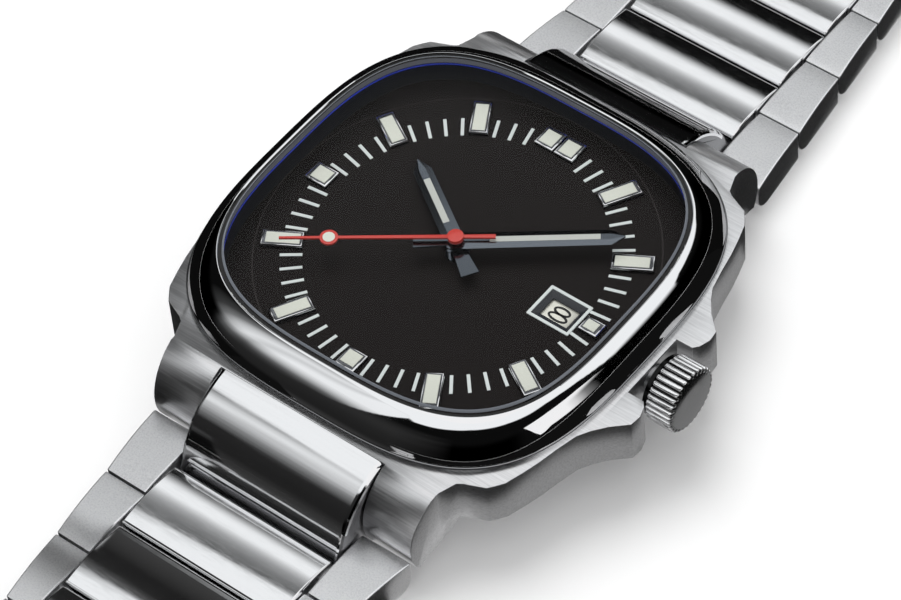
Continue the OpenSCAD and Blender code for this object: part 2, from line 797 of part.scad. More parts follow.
module crown() {
  fluted_x = crown_x + shoulder;
  color("silver") difference() {
    union() {
      rod_x(crown_r - 0.25, crown_x + 0.1, crown_x + crown_len, 0, crown_z);
      rod_x(crown_r, fluted_x, crown_x + crown_len - 0.25, 0, crown_z);
    }
    for (i = [0:flutes - 1]) translate([0, 0, crown_z]) rotate([360 * i / flutes, 0, 0])
      rod_x(flute_r, fluted_x + 0.15, crown_x + crown_len + overrun, 0, crown_r + 0.02);
    rod_x(tube_r + 0.35, crown_x - overrun, fluted_x + 0.6, 0, crown_z);
    rod_x(stem_r, crown_x, crown_x + 2.3, 0, crown_z);
  }
}

module winding_stem() {
  color("gray") {
    rod_x(stem_r, pinion_x1 + 1.9, crown_x + 2.3, 0, crown_z);
    translate([(pinion_x0 + pinion_x1 + 1.9) / 2 - 0.5, 0, crown_z])
      cube([pinion_x1 + 2.9 - pinion_x0, square_w, square_w], center = true);
  }
}

module crown_gasket() {
  color("black") difference() {
    rod_x(tube_bore - 0.02, crown_x - 3.2, crown_x - 2.7, 0, crown_z);
    rod_x(stem_r, crown_x - 4, crown_x, 0, crown_z);
  }
}

module sliding_pinion() {
  color("gray") difference() {
    rod_x(0.72, pinion_x0, pinion_x1, 0, crown_z);
    translate([9, 0, crown_z]) cube([4, square_w + 0.08, square_w + 0.08], center = true);
    for (i = [0:11]) translate([pinion_x0, 0, crown_z]) rotate([30 * i, 0, 0])
      translate([0, 0, 0.78]) cube([0.5, 0.16, 0.36], center = true);
  }
}

// Gear with straight teeth: the wheel's pitch radius is module * teeth / 2
function gear_points(teeth, mod, phase) = [for (i = [0:teeth - 1]) let (step = 360 / teeth,
  mid = phase + i * step, root = mod * (teeth / 2 - 1.05), tip = mod * (teeth / 2 + 0.8))
  each [[root, mid - 0.21 * step], [tip, mid - 0.09 * step], [tip, mid + 0.09 * step],
    [root, mid + 0.21 * step]]];

module gear(teeth, mod, phase, z0, z1) {
  translate([0, 0, z0]) linear_extrude(z1 - z0)
    polygon([for (p = gear_points(teeth, mod, phase)) [p[0] * cos(p[1]), p[0] * sin(p[1])]]);
}

// Phase at which a wheel of teeth_b meshes with one of teeth_a, whose centre lies opposite dir
function mesh_phase(teeth_a, phase_a, dir, teeth_b) =
  dir + 180 - 360 / teeth_b * ((phase_a - dir) * teeth_a / 360 + 0.5);

barrel_teeth = 72;
centre_leaves = 12;
centre_teeth = 80;
small_leaves = 10;
third_teeth = 75;
fourth_teeth = 96;
escape_leaves = 8;
cannon_leaves = 12;
minute_teeth = 36;
minute_leaves = 10;
hour_teeth = 40;

barrel_dir = 120;
third_dir = 300;
escape_dir = 230;
pallet_dir = 215;
balance_dir = 180;
minute_wheel_dir = 70;
barrel_mod = 2 * barrel_dist / (barrel_teeth + centre_leaves);
centre_mod = 2 * third_dist / (centre_teeth + small_leaves);
third_mod = 2 * third_dist / (third_teeth + small_leaves);
fourth_mod = 2 * escape_dist / (fourth_teeth + escape_leaves);
cannon_mod = 2 * minute_dist / (cannon_leaves + minute_teeth);
hour_mod = 2 * minute_dist / (minute_leaves + hour_teeth);

barrel_at = barrel_dist * [cos(barrel_dir), sin(barrel_dir)];
third_at = third_dist * [cos(third_dir), sin(third_dir)];
escape_at = escape_dist * [cos(escape_dir), sin(escape_dir)];
escape_r = 2.1;
pallet_dist = 2.75;
pallet_at = escape_at + pallet_dist * [cos(pallet_dir), sin(pallet_dir)];
fork_len = 3.6;
balance_at = pallet_at + fork_len * [cos(balance_dir), sin(balance_dir)];
minute_at = minute_dist * [cos(minute_wheel_dir), sin(minute_wheel_dir)];

// Heights of the layers under the main plate, from the case back upwards
rotor_low = 1.85;
rotor_plate_z = 2.4;
rotor_plate_t = 0.3;
bridge_low = 3.1;
bridge_top = 3.95;
fourth_z = 4.05;
wheel_t = 0.16;
pivot_r = 0.12;
pivot_gap = 0.04;

module at(p) {
  translate([p[0], p[1], 0]) children();
}

module arbor(r, z0, z1) {
  translate([0, 0, z0]) cylinder(h = z1 - z0, r = r);
  translate([0, 0, z0 - 0.35]) cylinder(h = z1 - z0 + 0.7, r = pivot_r);
}

module pivot_hole(p) {
  at(p) translate([0, 0, bridge_low - overrun]) cylinder(h = 8, r = pivot_r + pivot_gap);
}

well_r = 7.9;
well_z = 7.25;
plate_holes = [third_at, escape_at, pallet_at, balance_at];
screw_angles = [15, 75, 150];
screw_dist = 11.9;

module mainplate() {
  color("goldenrod") difference() {
    translate([0, 0, plate_low]) cylinder(h = plate_top - plate_low, r = move_r);
    translate([0, 0, well_z]) cylinder(h = 2, r = well_r);
    translate([0, 0, plate_low - overrun]) cylinder(h = 4, r = 0.75);
    rod_x(stem_r + 0.08, 7.5, move_r + overrun, 0, crown_z);
    translate([(pinion_x0 + pinion_x1) / 2, 0, crown_z - 0.2])
      cube([pinion_x1 - pinion_x0 + 0.6, 1.7, 1.9], center = true);
    for (a = foot_angles) rotate(a) translate([foot_dist, 0, plate_top - 1])
      cylinder(h = 2, r = foot_r + 0.02);
    for (p = plate_holes) pivot_hole(p);
    at(barrel_at) translate([0, 0, plate_low - overrun]) cylinder(h = 1.5, r = 0.5 + pivot_gap);
    at(minute_at) translate([0, 0, plate_low + 0.3]) cylinder(h = 4, r = 0.3);
    for (a = screw_angles) rotate(a) translate([screw_dist, 0, plate_low - overrun])
      cylinder(h = 2, r = 0.42);
  }
  color("gray") at(minute_at) translate([0, 0, plate_low + 0.3])
    cylinder(h = 1.8, r = 0.3);
}

// Bridge that carries the barrel, the train and the rotor, with its wall down to the plate
bearing_r = 1.6;
cock_foot = [-9.0, 1.2];
cock_w = 2.2;

module train_bridge() {
  color("silver") difference() {
    union() {
      difference() {
        translate([0, 0, bridge_low]) cylinder(h = plate_low - bridge_low, r = move_r - 0.3);
        translate([0, 0, bridge_top]) cylinder(h = 4, r = move_r - 2);
      }
      tube(bearing_r, 0, rotor_plate_z - 0.35, bridge_low + 0.1);
    }
    at(balance_at) translate([0, 0, bridge_top]) cylinder(h = 6, r = balance_r + 0.4);
    translate([0, 0, bridge_low - overrun]) linear_extrude(6)
      bar(balance_at, cock_foot, cock_w + 0.2);
    for (p = [third_at, escape_at, pallet_at]) pivot_hole(p);
    translate([0, 0, bridge_low + 0.3]) cylinder(h = 2, r = pivot_r + pivot_gap);
    at(barrel_at) translate([0, 0, bridge_low - overrun]) cylinder(h = 2, r = 0.5 + pivot_gap);
    for (a = screw_angles) rotate(a) translate([screw_dist, 0, bridge_low - overrun])
      cylinder(h = 5, r = 0.42);
  }
}

module movement_screws() {
  color("royalblue") for (a = screw_angles) rotate(a) translate([screw_dist, 0, 0]) {
    difference() {
      translate([0, 0, bridge_low - 0.3]) cylinder(h = 0.3, r = 0.7);
      translate([0, 0, bridge_low - 0.3]) cube([2, 0.2, 0.3], center = true);
    }
    translate([0, 0, bridge_low]) cylinder(h = plate_low - bridge_low + 0.9, r = 0.4);
  }
}

// Balance cock: a plate over the balance with a foot that stands on the main plate
module balance_cock() {
  color("silver") difference() {
    union() {
      translate([0, 0, bridge_low]) linear_extrude(bridge_top - bridge_low - 0.1)
        bar(balance_at, cock_foot, cock_w);
      at(cock_foot) translate([0, 0, bridge_low]) cylinder(h = plate_low - bridge_low, r = cock_w / 2);
    }
    pivot_hole(balance_at);
  }
}

barrel_low = 4.35;
barrel_high = 5.4;

module barrel() {
  wall = 0.25;
  r = barrel_mod * (barrel_teeth / 2 - 1.4);
  at(barrel_at) color("goldenrod") difference() {
    union() {
      translate([0, 0, barrel_low]) cylinder(h = barrel_high - barrel_low, r = r);
      gear(barrel_teeth, barrel_mod, mesh_phase(centre_leaves, 0, barrel_dir, barrel_teeth),
        5.0, 5.2);
      translate([0, 0, bridge_low + 0.1]) cylinder(h = plate_low + 0.4 - bridge_low - 0.1, r = 0.5);
    }
    tube(r - wall, 0.9, barrel_low + 0.15, barrel_high - 0.15);
  }
}

// A flat spiral band between two radii
function spiral(r0, r1, turns, steps, t) = [for (i = [0:turns * steps])
  let (a = 360 * i / steps, r = r0 + (r1 - r0) * i / (turns * steps) + t)
  [r * cos(a), r * sin(a)]];

module spiral_band(r0, r1, turns, steps, t, z0, z1) {
  inner = spiral(r0, r1, turns, steps, 0);
  outer = spiral(r0, r1, turns, steps, t);
  translate([0, 0, z0]) linear_extrude(z1 - z0)
    polygon(concat(inner, [for (i = [len(outer) - 1:-1:0]) outer[i]]));
}

module mainspring() {
  r = barrel_mod * (barrel_teeth / 2 - 1.4);
  at(barrel_at) color("steelblue")
    spiral_band(0.92, r - 0.42, 7, 18, 0.14, barrel_low + 0.2, barrel_high - 0.2);
}

module center_wheel() {
  color("goldenrod") difference() {
    union() {
      gear(centre_teeth, centre_mod, mesh_phase(small_leaves, 0, third_dir + 180, centre_teeth),
        5.5, 5.5 + wheel_t);
      gear(centre_leaves, barrel_mod, 0, 4.95, 5.35);
      translate([0, 0, 4.95]) cylinder(h = plate_low + 1.6 - 4.95, r = 0.38);
      translate([0, 0, 4.95]) cylinder(h = plate_low + 1.2 - 4.95, r = 0.55);
    }
    translate([0, 0, 4]) cylinder(h = 9, r = arbor_r + 0.06);
  }
}

module third_wheel() {
  at(third_at) color("goldenrod") {
    arbor(0.25, bridge_top + 0.06, plate_low - 0.06);
    gear(third_teeth, third_mod, mesh_phase(small_leaves, 0, third_dir, third_teeth),
      4.6, 4.6 + wheel_t);
    gear(small_leaves, centre_mod, 0, 5.35, 5.8);
  }
}

module fourth_wheel() {
  color("goldenrod") {
    gear(fourth_teeth, fourth_mod, 0, fourth_z, fourth_z + wheel_t);
    gear(small_leaves, third_mod, 0, 4.5, 4.85);
    translate([0, 0, fourth_z]) cylinder(h = 4.9 - fourth_z, r = 0.25);
    translate([0, 0, bridge_low + 0.35]) cylinder(h = seconds_z + hand_t - bridge_low - 0.35,
      r = pivot_r);
    translate([0, 0, 4.6]) cylinder(h = seconds_z + hand_t - 4.6, r = arbor_r);
  }
}

escape_teeth = 20;
escape_wheel_z = 4.95;

module escape_wheel() {
  at(escape_at) color("silver") {
    arbor(0.2, bridge_top + 0.06, plate_low - 0.06);
    gear(escape_leaves, fourth_mod, mesh_phase(fourth_teeth, 0, escape_dir, escape_leaves),
      4.02, 4.3);
    translate([0, 0, escape_wheel_z]) linear_extrude(wheel_t) {
      difference() {
        circle(escape_r - 0.4);
        circle(escape_r - 0.65);
      }
      for (i = [0:escape_teeth - 1]) rotate(360 * i / escape_teeth)
        polygon([[escape_r - 0.5, -0.12], [escape_r, 0.1], [escape_r - 0.02, 0.17],
          [escape_r - 0.5, 0.12]]);
      for (i = [0:3]) rotate(90 * i) translate([0, -0.1]) square([escape_r - 0.5, 0.2]);
    }
  }
}

// Pallet fork: its jewels stand just clear of the escape wheel's tips
jewel_gap = 0.12;
jewel_angle = 30;

module pallet_fork() {
  color("silver") at(pallet_at) {
    arbor(0.2, bridge_top + 0.06, plate_low - 0.06);
    translate([0, 0, escape_wheel_z]) linear_extrude(wheel_t)
      bar([0, 0], (fork_len - 0.95) * [cos(balance_dir), sin(balance_dir)], 0.3);
  }
  color("crimson") for (s = [-1, 1]) translate([0, 0, escape_wheel_z]) linear_extrude(wheel_t)
    bar(pallet_at, escape_at + (escape_r + jewel_gap + 0.15)
      * [cos(pallet_dir + s * jewel_angle), sin(pallet_dir + s * jewel_angle)], 0.3);
}

module balance_wheel() {
  z = 4.35;
  at(balance_at) color("goldenrod") {
    arbor(0.22, bridge_top + 0.06, plate_low - 0.06);
    tube(balance_r, balance_r - 0.3, z, z + 0.3);
    translate([0, 0, z]) linear_extrude(0.2) for (i = [0:2])
      bar([0, 0], (balance_r - 0.15) * [cos(120 * i + 20), sin(120 * i + 20)], 0.35);
    translate([0, 0, 4.8]) cylinder(h = 0.12, r = 0.6);
    rotate(balance_dir + 180) translate([0.5, 0, 4.85]) cylinder(h = 0.3, r = 0.09);
  }
}

module hairspring() {
  at(balance_at) color("steelblue")
    spiral_band(0.22, 1.9, 8, 18, 0.05, 4.05, 4.2);
}

// Hand-setting works on the dial side
module cannon_pinion() {
  color("silver") difference() {
    union() {
      gear(cannon_leaves, cannon_mod, 0, well_z + 0.07, well_z + 0.42);
      translate([0, 0, well_z + 0.07]) cylinder(h = minute_z + hand_t - well_z - 0.07, r = cannon_out);
    }
    translate([0, 0, well_z - overrun]) cylinder(h = overrun + 0.5, r = 0.42);
    translate([0, 0, well_z - overrun]) cylinder(h = 9, r = arbor_r + 0.06);
  }
}

module minute_wheel() {
  at(minute_at) color("goldenrod") difference() {
    union() {
      gear(minute_teeth, cannon_mod,
        mesh_phase(cannon_leaves, 0, minute_wheel_dir, minute_teeth), well_z + 0.1, well_z + 0.35);
      gear(minute_leaves, hour_mod, 0, well_z + 0.3, well_z + 0.85);
    }
    translate([0, 0, well_z - overrun]) cylinder(h = 3, r = 0.3 + pivot_gap);
  }
}

module hour_wheel() {
  color("goldenrod") difference() {
    union() {
      gear(hour_teeth, hour_mod,
        mesh_phase(minute_leaves, 0, minute_wheel_dir + 180, hour_teeth),
        well_z + 0.5, well_z + 0.75);
      translate([0, 0, well_z + 0.5]) cylinder(h = hour_z + hand_t - well_z - 0.5, r = hour_pipe_out);
    }
    translate([0, 0, well_z - overrun]) cylinder(h = 9, r = hour_pipe_in);
  }
}

// Date ring with 31 inner teeth
date_days = 31;
ring_in = 8.6;
ring_out = 11.95;

module date_ring() {
  translate([0, 0, plate_top + 0.03]) color("ivory") difference() {
    cylinder(h = 0.2, r = ring_out);
    translate([0, 0, -overrun]) cylinder(h = 3, r = ring_in);
    for (i = [0:date_days - 1]) rotate(360 * i / date_days)
      translate([ring_in, 0, 0]) cube([0.6, 0.9, 3], center = true);
  }
}

// Winding rotor: a half disc with a heavy rim, turning on the bridge's post
module rotor() {
  color("silver") difference() {
    union() {
      translate([0, 0, rotor_plate_z]) linear_extrude(rotor_plate_t) difference() {
        circle(rotor_r);
        translate([-rotor_r - 1, 0]) square([2 * rotor_r + 2, rotor_r + 1]);
      }
      translate([0, 0, rotor_low]) linear_extrude(rotor_plate_z - rotor_low + 0.1) difference() {
        circle(rotor_r);
        circle(rotor_r - 2.2);
        translate([-rotor_r - 1, -1]) square([2 * rotor_r + 2, rotor_r + 2]);
      }
      translate([0, 0, rotor_plate_z]) cylinder(h = rotor_plate_t, r = bearing_r + 1.2);
    }
    translate([0, 0, rotor_plate_z - overrun]) cylinder(h = 3, r = bearing_r + fit);
  }
}

case_middle();
bezel();
crystal();
crystal_gasket();
case_back();
case_back_gasket();
crown_tube();
movement_ring();
dial();
flange();
hour_markers();
marker_lume();
minute_track();
date_frame();
spring_bars();
end_links();
hour_hand();
hour_hand_lume();
minute_hand();
minute_hand_lume();
seconds_hand();
seconds_hand_lume();
crown();
winding_stem();
crown_gasket();
sliding_pinion();
mainplate();
train_bridge();
balance_cock();
barrel();
mainspring();
center_wheel();
third_wheel();
fourth_wheel();
escape_wheel();
pallet_fork();
balance_wheel();
hairspring();
cannon_pinion();
minute_wheel();
hour_wheel();
date_ring();
rotor();
movement_screws();
row_twelve_1();
row_twelve_2();
row_twelve_3();
row_twelve_4();
row_twelve_5();
row_twelve_6();
row_six_1();
row_six_2();
row_six_3();
row_six_4();
row_six_5();
clasp_cover();
clasp_blade_long();
clasp_blade_short();
clasp_button_left();
clasp_button_right();
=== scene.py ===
"""Wristwatch with a cushion-shaped bezel, dressed for a product picture.

The solid model is the frame. Every finer piece below stands for one of its nodes and rides on the same body,
so the hands, the crown, the bracelet and the clasp still move. Lengths in the mesh code are in millimetres.
"""

import json
import math

import bmesh
import bpy
from mathutils import Matrix, Vector

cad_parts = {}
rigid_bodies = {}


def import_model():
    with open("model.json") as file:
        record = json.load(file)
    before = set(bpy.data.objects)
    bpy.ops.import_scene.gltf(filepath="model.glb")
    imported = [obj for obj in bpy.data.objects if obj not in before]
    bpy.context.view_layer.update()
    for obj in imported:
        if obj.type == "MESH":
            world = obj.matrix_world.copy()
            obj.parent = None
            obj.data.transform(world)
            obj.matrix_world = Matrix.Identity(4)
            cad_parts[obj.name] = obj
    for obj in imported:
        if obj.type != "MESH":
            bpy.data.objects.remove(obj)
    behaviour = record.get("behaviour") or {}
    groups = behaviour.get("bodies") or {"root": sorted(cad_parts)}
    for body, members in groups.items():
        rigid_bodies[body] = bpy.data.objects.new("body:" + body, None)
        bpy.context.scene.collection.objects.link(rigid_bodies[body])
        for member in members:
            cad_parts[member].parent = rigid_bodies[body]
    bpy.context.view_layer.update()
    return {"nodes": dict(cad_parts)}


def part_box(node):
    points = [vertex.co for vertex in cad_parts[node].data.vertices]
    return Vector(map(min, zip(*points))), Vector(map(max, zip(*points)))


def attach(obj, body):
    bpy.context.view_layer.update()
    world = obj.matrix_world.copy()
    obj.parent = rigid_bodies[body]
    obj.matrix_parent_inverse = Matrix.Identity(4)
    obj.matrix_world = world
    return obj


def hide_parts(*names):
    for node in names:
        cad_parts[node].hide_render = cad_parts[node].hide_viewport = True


bl_info = {
    "name": "Cushion Wristwatch",
    "version": (1, 0, 0),
    "blender": (4, 5, 0),
    "location": "3D View > Sidebar > Watch",
    "description": "Finishes and fine pieces for a steel wristwatch, with its studio",
    "category": "Object",
}

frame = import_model()

MM = 0.001
WELD = 0.0005 * MM


def box_mm(node):
    """Lowest and highest corner of a node, in millimetres."""
    low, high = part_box(node)
    return Vector(low) / MM, Vector(high) / MM


BEZEL_LOW, BEZEL_HIGH = box_mm("bezel")
CRYSTAL_LOW, CRYSTAL_HIGH = box_mm("crystal")
FLANGE_LOW, FLANGE_HIGH = box_mm("flange")
DATE_LOW, DATE_HIGH = box_mm("date_frame")
RING_HIGH, END_HIGH = box_mm("date_ring")[1], box_mm("end_links")[1]
CROWN_LOW, CROWN_HIGH = box_mm("crown")
DIAL_TOP = 8.7
# Angle clockwise from twelve, distance from the centre, sideways offset, length and width of each marker
MARKERS = [(30 * hour, 14.07, 0.0, 3.2, 1.45) for hour in (1, 2, 4, 5, 7, 8, 10, 11)]
MARKERS += [(0, 13.64, -1.0, 1.83, 1.72), (0, 13.64, 1.0, 1.83, 1.72), (180, 13.42, 0.0, 1.72, 1.72),
            (270, 13.82, 0.0, 1.88, 1.72), (90, 13.4, 0.0, 1.5, 1.3)]


# Settings that a user would change


def length(name, description, default_mm):
    """A length setting, stored in metres."""
    return bpy.props.FloatProperty(name=name, description=description, default=default_mm * MM, min=0.0,
                                   precision=5, unit="LENGTH")


def colour(name, description, default):
    """A colour setting."""
    return bpy.props.FloatVectorProperty(name=name, description=description, default=default, size=3,
                                         min=0.0, max=1.0, subtype="COLOR")


def amount(name, description, default, low, high):
    """A plain number setting."""
    return bpy.props.FloatProperty(name=name, description=description, default=default, min=low, max=high)


class WatchCaseSettings(bpy.types.PropertyGroup):
    """Case, bezel, crystal and crown."""

    rim_x: length("Opening across", "Half width of the crystal opening along X", 16.7)
    rim_y: length("Opening along", "Half width of the crystal opening along Y", 16.45)
    roundness: amount("Roundness", "Exponent of the cushion outline, where 2 is an ellipse", 3.2, 2.0, 6.0)
    foot_ledge: length("Foot ledge", "Width of the flat ledge round the bezel's foot", 0.1)
    joint: length("Crystal joint", "Width of the dark joint between the crystal and the bezel", 0.3)
    chamfer: length("Crystal chamfer", "Width of the ground edge of the crystal", 0.14)
    edge_break: length("Edge break", "Width of the small bevel along the case edges", 0.07)
    flutes: bpy.props.IntProperty(name="Flutes", description="Number of ridges round the crown", default=30,
                                  min=12, max=60)
    polished: colour("Polished steel", "Colour of the polished steel", (0.86, 0.86, 0.87))
    brushed: colour("Brushed steel", "Colour of the brushed steel", (0.76, 0.76, 0.77))


class WatchDialSettings(bpy.types.PropertyGroup):
    """Dial, markers, date and hands."""

    ground: colour("Dial", "Colour of the dial", (0.0082, 0.0064, 0.006))
    print_white: colour("Print", "Colour of the minute strokes and the date frame", (0.6, 0.65, 0.64))
    lume: colour("Lume", "Colour of the luminous paint", (0.6, 0.62, 0.55))
    hand_lume: colour("Hand lume", "Colour of the luminous strips on the hands", (0.44, 0.46, 0.43))
    hand_grey: colour("Hands", "Colour of the grey hands", (0.15, 0.17, 0.195))
    seconds_red: colour("Seconds hand", "Colour of the seconds hand", (0.5, 0.04, 0.03))
    ring_radius: length("Ring line", "Radius of the faint turned line on the dial", 16.4)
    date: bpy.props.IntProperty(name="Date", description="Day that shows in the window", default=8,
                                min=1, max=31)


class WatchBraceletSettings(bpy.types.PropertyGroup):
    """Bracelet rows and end links."""

    pitch: length("Pitch", "Distance between two hinges", 6.9)
    first_hinge: length("First hinge", "Distance of the first hinge from the dial's centre", 24.6)
    pin_height: length("Pin height", "Height of the hinge pins", 1.6)
    outer_height: length("Outer link", "Thickness of the outer links", 3.3)
    middle_height: length("Middle link", "Thickness of the middle links at their crown", 3.5)
    outer_half: length("Bracelet half width", "Half width of the bracelet next to the case", 13.0)
    middle_half: length("Middle half width", "Half width of the first middle link", 7.95)
    taper: length("Taper", "Narrowing of the half width from row to row", 0.8)
    middle_taper: length("Middle taper", "Narrowing of the middle links from row to row", 0.15)


class WatchStageSettings(bpy.types.PropertyGroup):
    """Camera, floor, lamps and reflector cards."""

    camera: bpy.props.FloatVectorProperty(name="Camera", description="Place of the camera", size=3,
                                          default=(0.15037, -0.16607, 0.27875), unit="LENGTH")
    lens: bpy.props.FloatProperty(name="Lens", description="Focal length in millimetres", default=175.9,
                                  unit="CAMERA")
    floor: colour("Floor", "Colour of the floor", (0.97, 0.97, 0.97))
    sky: amount("Sky", "Strength of the soft light from all round", 0.74, 0.0, 2.0)
    lamp: amount("Lamp", "Power of the soft lamp in watts", 5.2, 0.0, 50.0)


# Mesh helpers, in millimetres


def loft(mesh, rings, closed=False, capped=False):
    """Skin a list of point rings. Closed joins the last ring to the first, capped fills both ends."""
    rows = [[mesh.verts.new(Vector(p) * MM) for p in ring] for ring in rings]
    pairs = list(zip(rows, rows[1:]))
    if closed:
        pairs.append((rows[-1], rows[0]))
    for low, high in pairs:
        for i in range(len(low)):
            j = (i + 1) % len(low)
            mesh.faces.new((low[i], low[j], high[j], high[i]))
    if capped:
        mesh.faces.new(list(reversed(rows[0])))
        mesh.faces.new(rows[-1])


def cushion_ring(half_x, half_y, z, power, points):
    """Points of a cushion outline, at even angles."""
    ring = []
    for i in range(points):
        angle = 2 * math.pi * i / points
        c, s = math.cos(angle), math.sin(angle)
        reach = ((abs(c) / half_x) ** power + (abs(s) / half_y) ** power) ** (-1 / power)
        ring.append((reach * c, reach * s, z))
    return ring


def rounded_box_ring(centre_x, width, height, radius, z, steps=5):
    """Points of a rectangle with round corners, centred on the X axis."""
    ring = []
    for quarter in range(4):
        sx = 1 if quarter in (0, 3) else -1
        sy = 1 if quarter in (0, 1) else -1
        for i in range(steps + 1):
            angle = math.pi / 2 * (quarter + i / steps)
            ring.append((centre_x + sx * (width / 2 - radius) + radius * math.cos(angle),
                         sy * (height / 2 - radius) + radius * math.sin(angle), z))
    return ring


def box_ring(x0, x1, y0, y1):
    """Corners of a rectangle."""
    return [(x0, y0), (x1, y0), (x1, y1), (x0, y1)]


def arc_points(cy, cz, radius, start, stop, steps):
    """Points of an arc, from start to stop degrees."""
    points = []
    for i in range(steps + 1):
        angle = math.radians(start + (stop - start) * i / steps)
        points.append((cy + radius * math.cos(angle), cz + radius * math.sin(angle)))
    return points


def top_arc(y0, y1, top, sag, steps):
    """Points of a shallow arc over y1 to y0, which is top high in its middle and sag lower at its ends."""
    half = (y1 - y0) / 2
    radius = (half * half + sag * sag) / (2 * sag)
    middle = (y0 + y1) / 2
    points = []
    for i in range(steps + 1):
        y = y1 + (y0 - y1) * i / steps
        points.append((y, top - radius + math.sqrt(radius * radius - (y - middle) ** 2)))
    return points


def rounded(points, index, radius, steps=5):
    """The curve that takes the place of one corner of an outline."""
    here = Vector(points[index])
    back = Vector(points[index - 1]) - here
    ahead = Vector(points[(index + 1) % len(points)]) - here
    start = here + back.normalized() * min(radius, back.length * 0.95)
    stop = here + ahead.normalized() * min(radius, ahead.length * 0.95)
    curve = []
    for i in range(steps + 1):
        t = i / steps
        curve.append(tuple(start * (1 - t) ** 2 + here * 2 * t * (1 - t) + stop * t * t))
    return curve


def inset_outline(outline, inset):
    """Side outline [(y, z)], moved inwards by inset along its corners' normals."""
    count = len(outline)
    moved = []
    for i, (y, z) in enumerate(outline):
        back, ahead = outline[i - 1], outline[(i + 1) % count]
        normal = Vector((0.0, 0.0))
        for a, b in ((back, (y, z)), ((y, z), ahead)):
            edge = Vector((b[0] - a[0], b[1] - a[1]))
            if edge.length > 1e-9:
                normal += Vector((-edge.y, edge.x)).normalized()
        if normal.length > 1e-9:
            normal.normalize()
        moved.append((y + inset * normal.x, z + inset * normal.y))
    return moved


def link_bar(mesh, outline, left, right, edge, mirrored):
    """A bar along X from a counter-clockwise side outline [(y, z)]. left and right give x at a y, and edge is
    the radius of its ends."""
    steps = 3
    stations = []
    for i in range(steps + 1):
        angle = math.pi / 2 * i / steps
        stations.append((edge * (1 - math.sin(angle)), edge * (1 - math.cos(angle))))
    stations.append((0.0, edge + 0.03))
    sign = -1 if mirrored else 1
    rings = []
    for side, shift in ((left, 1), (right, -1)):
        order = stations if shift > 0 else list(reversed(stations))
        for inset, along in order:
            shape = inset_outline(outline, inset)
            rings.append([(side(y) + shift * along, sign * y, z) for y, z in shape])
    loft(mesh, rings, capped=True)


def lathe_x(mesh, profile, points, centre_z, shape):
    """Turn a profile [(x, radius)] about a line along X at centre_z. shape gives a factor of the radius."""
    rings = []
    for x, radius in profile:
        ring = []
        for i in range(points):
            angle = 2 * math.pi * i / points
            reach = radius * shape(angle, x)
            ring.append((x, reach * math.cos(angle), centre_z + reach * math.sin(angle)))
        rings.append(ring)
    loft(mesh, rings, capped=True)


def turned(degrees):
    """Rotation about the dial's axis, clockwise as seen from above."""
    return Matrix.Rotation(-math.radians(degrees), 3, "Z")


def finish_piece(name, mesh, body, look, nodes, sharp=32):
    """Turn a bmesh into a piece that rides on a body and stands for CAD nodes."""
    bmesh.ops.recalc_face_normals(mesh, faces=mesh.faces)
    data = bpy.data.meshes.new(name)
    mesh.to_mesh(data)
    mesh.free()
    data.shade_smooth()
    data.set_sharp_from_angle(angle=math.radians(sharp))
    data.materials.append(finish(look))
    piece = bpy.data.objects.new(name, data)
    bpy.context.scene.collection.objects.link(piece)
    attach(piece, body)
    if nodes:
        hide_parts(*nodes)
    return piece


def cushion_piece(name, profile, look, nodes, sharp=32, points=288, capped=False):
    """A piece of the case from cushion outlines [(half width, half length, z)]: a closed ring, or capped."""
    power = bpy.context.scene.watch_case.roundness
    mesh = bmesh.new()
    loft(mesh, [cushion_ring(*ring, power, points) for ring in profile], closed=not capped, capped=capped)
    return finish_piece(name, mesh, "case", look, nodes, sharp)


def dress(nodes, look, bevel=0.0, smooth=35):
    """Give CAD nodes their material, with welded points, a small bevel on flat faces, and smooth shading up
    to an angle."""
    for node in nodes:
        thing = frame["nodes"][node]
        thing.data.materials.clear()
        thing.data.materials.append(finish(look))
        joined = thing.modifiers.new("weld", "WELD")
        joined.merge_threshold = WELD
        if bevel:
            flat = thing.modifiers.new("flat", "DECIMATE")
            flat.decimate_type = "DISSOLVE"
            flat.angle_limit = math.radians(1)
            edge = thing.modifiers.new("edge", "BEVEL")
            edge.width = bevel * MM
            edge.segments = 2
            edge.limit_method = "ANGLE"
            edge.angle_limit = math.radians(40)
            edge.harden_normals = False
        if smooth:
            thing.data.shade_smooth()
            thing.data.set_sharp_from_angle(angle=math.radians(smooth))


def second_finish(piece, look, test):
    """Give a second material to the faces whose middle, in millimetres, and normal pass a test."""
    piece.data.materials.append(finish(look))
    for face in piece.data.polygons:
        if test(face.center / MM, face.normal):
            face.material_index = 1


# Shader nodes. The shared groups put out colours, masks and heights only.

# Grain per metre along X, Y and Z
ALONG_X = (500.0, 15000.0, 15000.0)
ALONG_Y = (15000.0, 500.0, 15000.0)
EVEN = (14000.0, 14000.0, 14000.0)
CASE_LINES = (260.0, 6500.0, 6500.0)
END_LINES = (160.0, 5200.0, 5200.0)
LINK_LINES = (700.0, 5000.0, 5000.0)
BLASTED = (7000.0, 7000.0, 7000.0)
WIPED = (900.0, 900.0, 900.0)
# Height of a paint's tooth, in millimetres
PAINT_RELIEF = 0.002


def feed(tree, socket, value):
    """Link an output to an input, or set the input to a plain value."""
    if isinstance(value, bpy.types.NodeSocket):
        tree.links.new(value, socket)
    else:
        socket.default_value = value


def add_node(tree, kind, inputs=(), **settings):
    """A shader node with its settings, and with pairs of a socket and what goes into it."""
    made = tree.nodes.new(kind)
    for name, value in settings.items():
        setattr(made, name, value)
    for socket, value in inputs:
        feed(tree, made.inputs[socket], value)
    return made


def maths(tree, operation, *values):
    """Output of a Math node."""
    return add_node(tree, "ShaderNodeMath", enumerate(values), operation=operation).outputs[0]


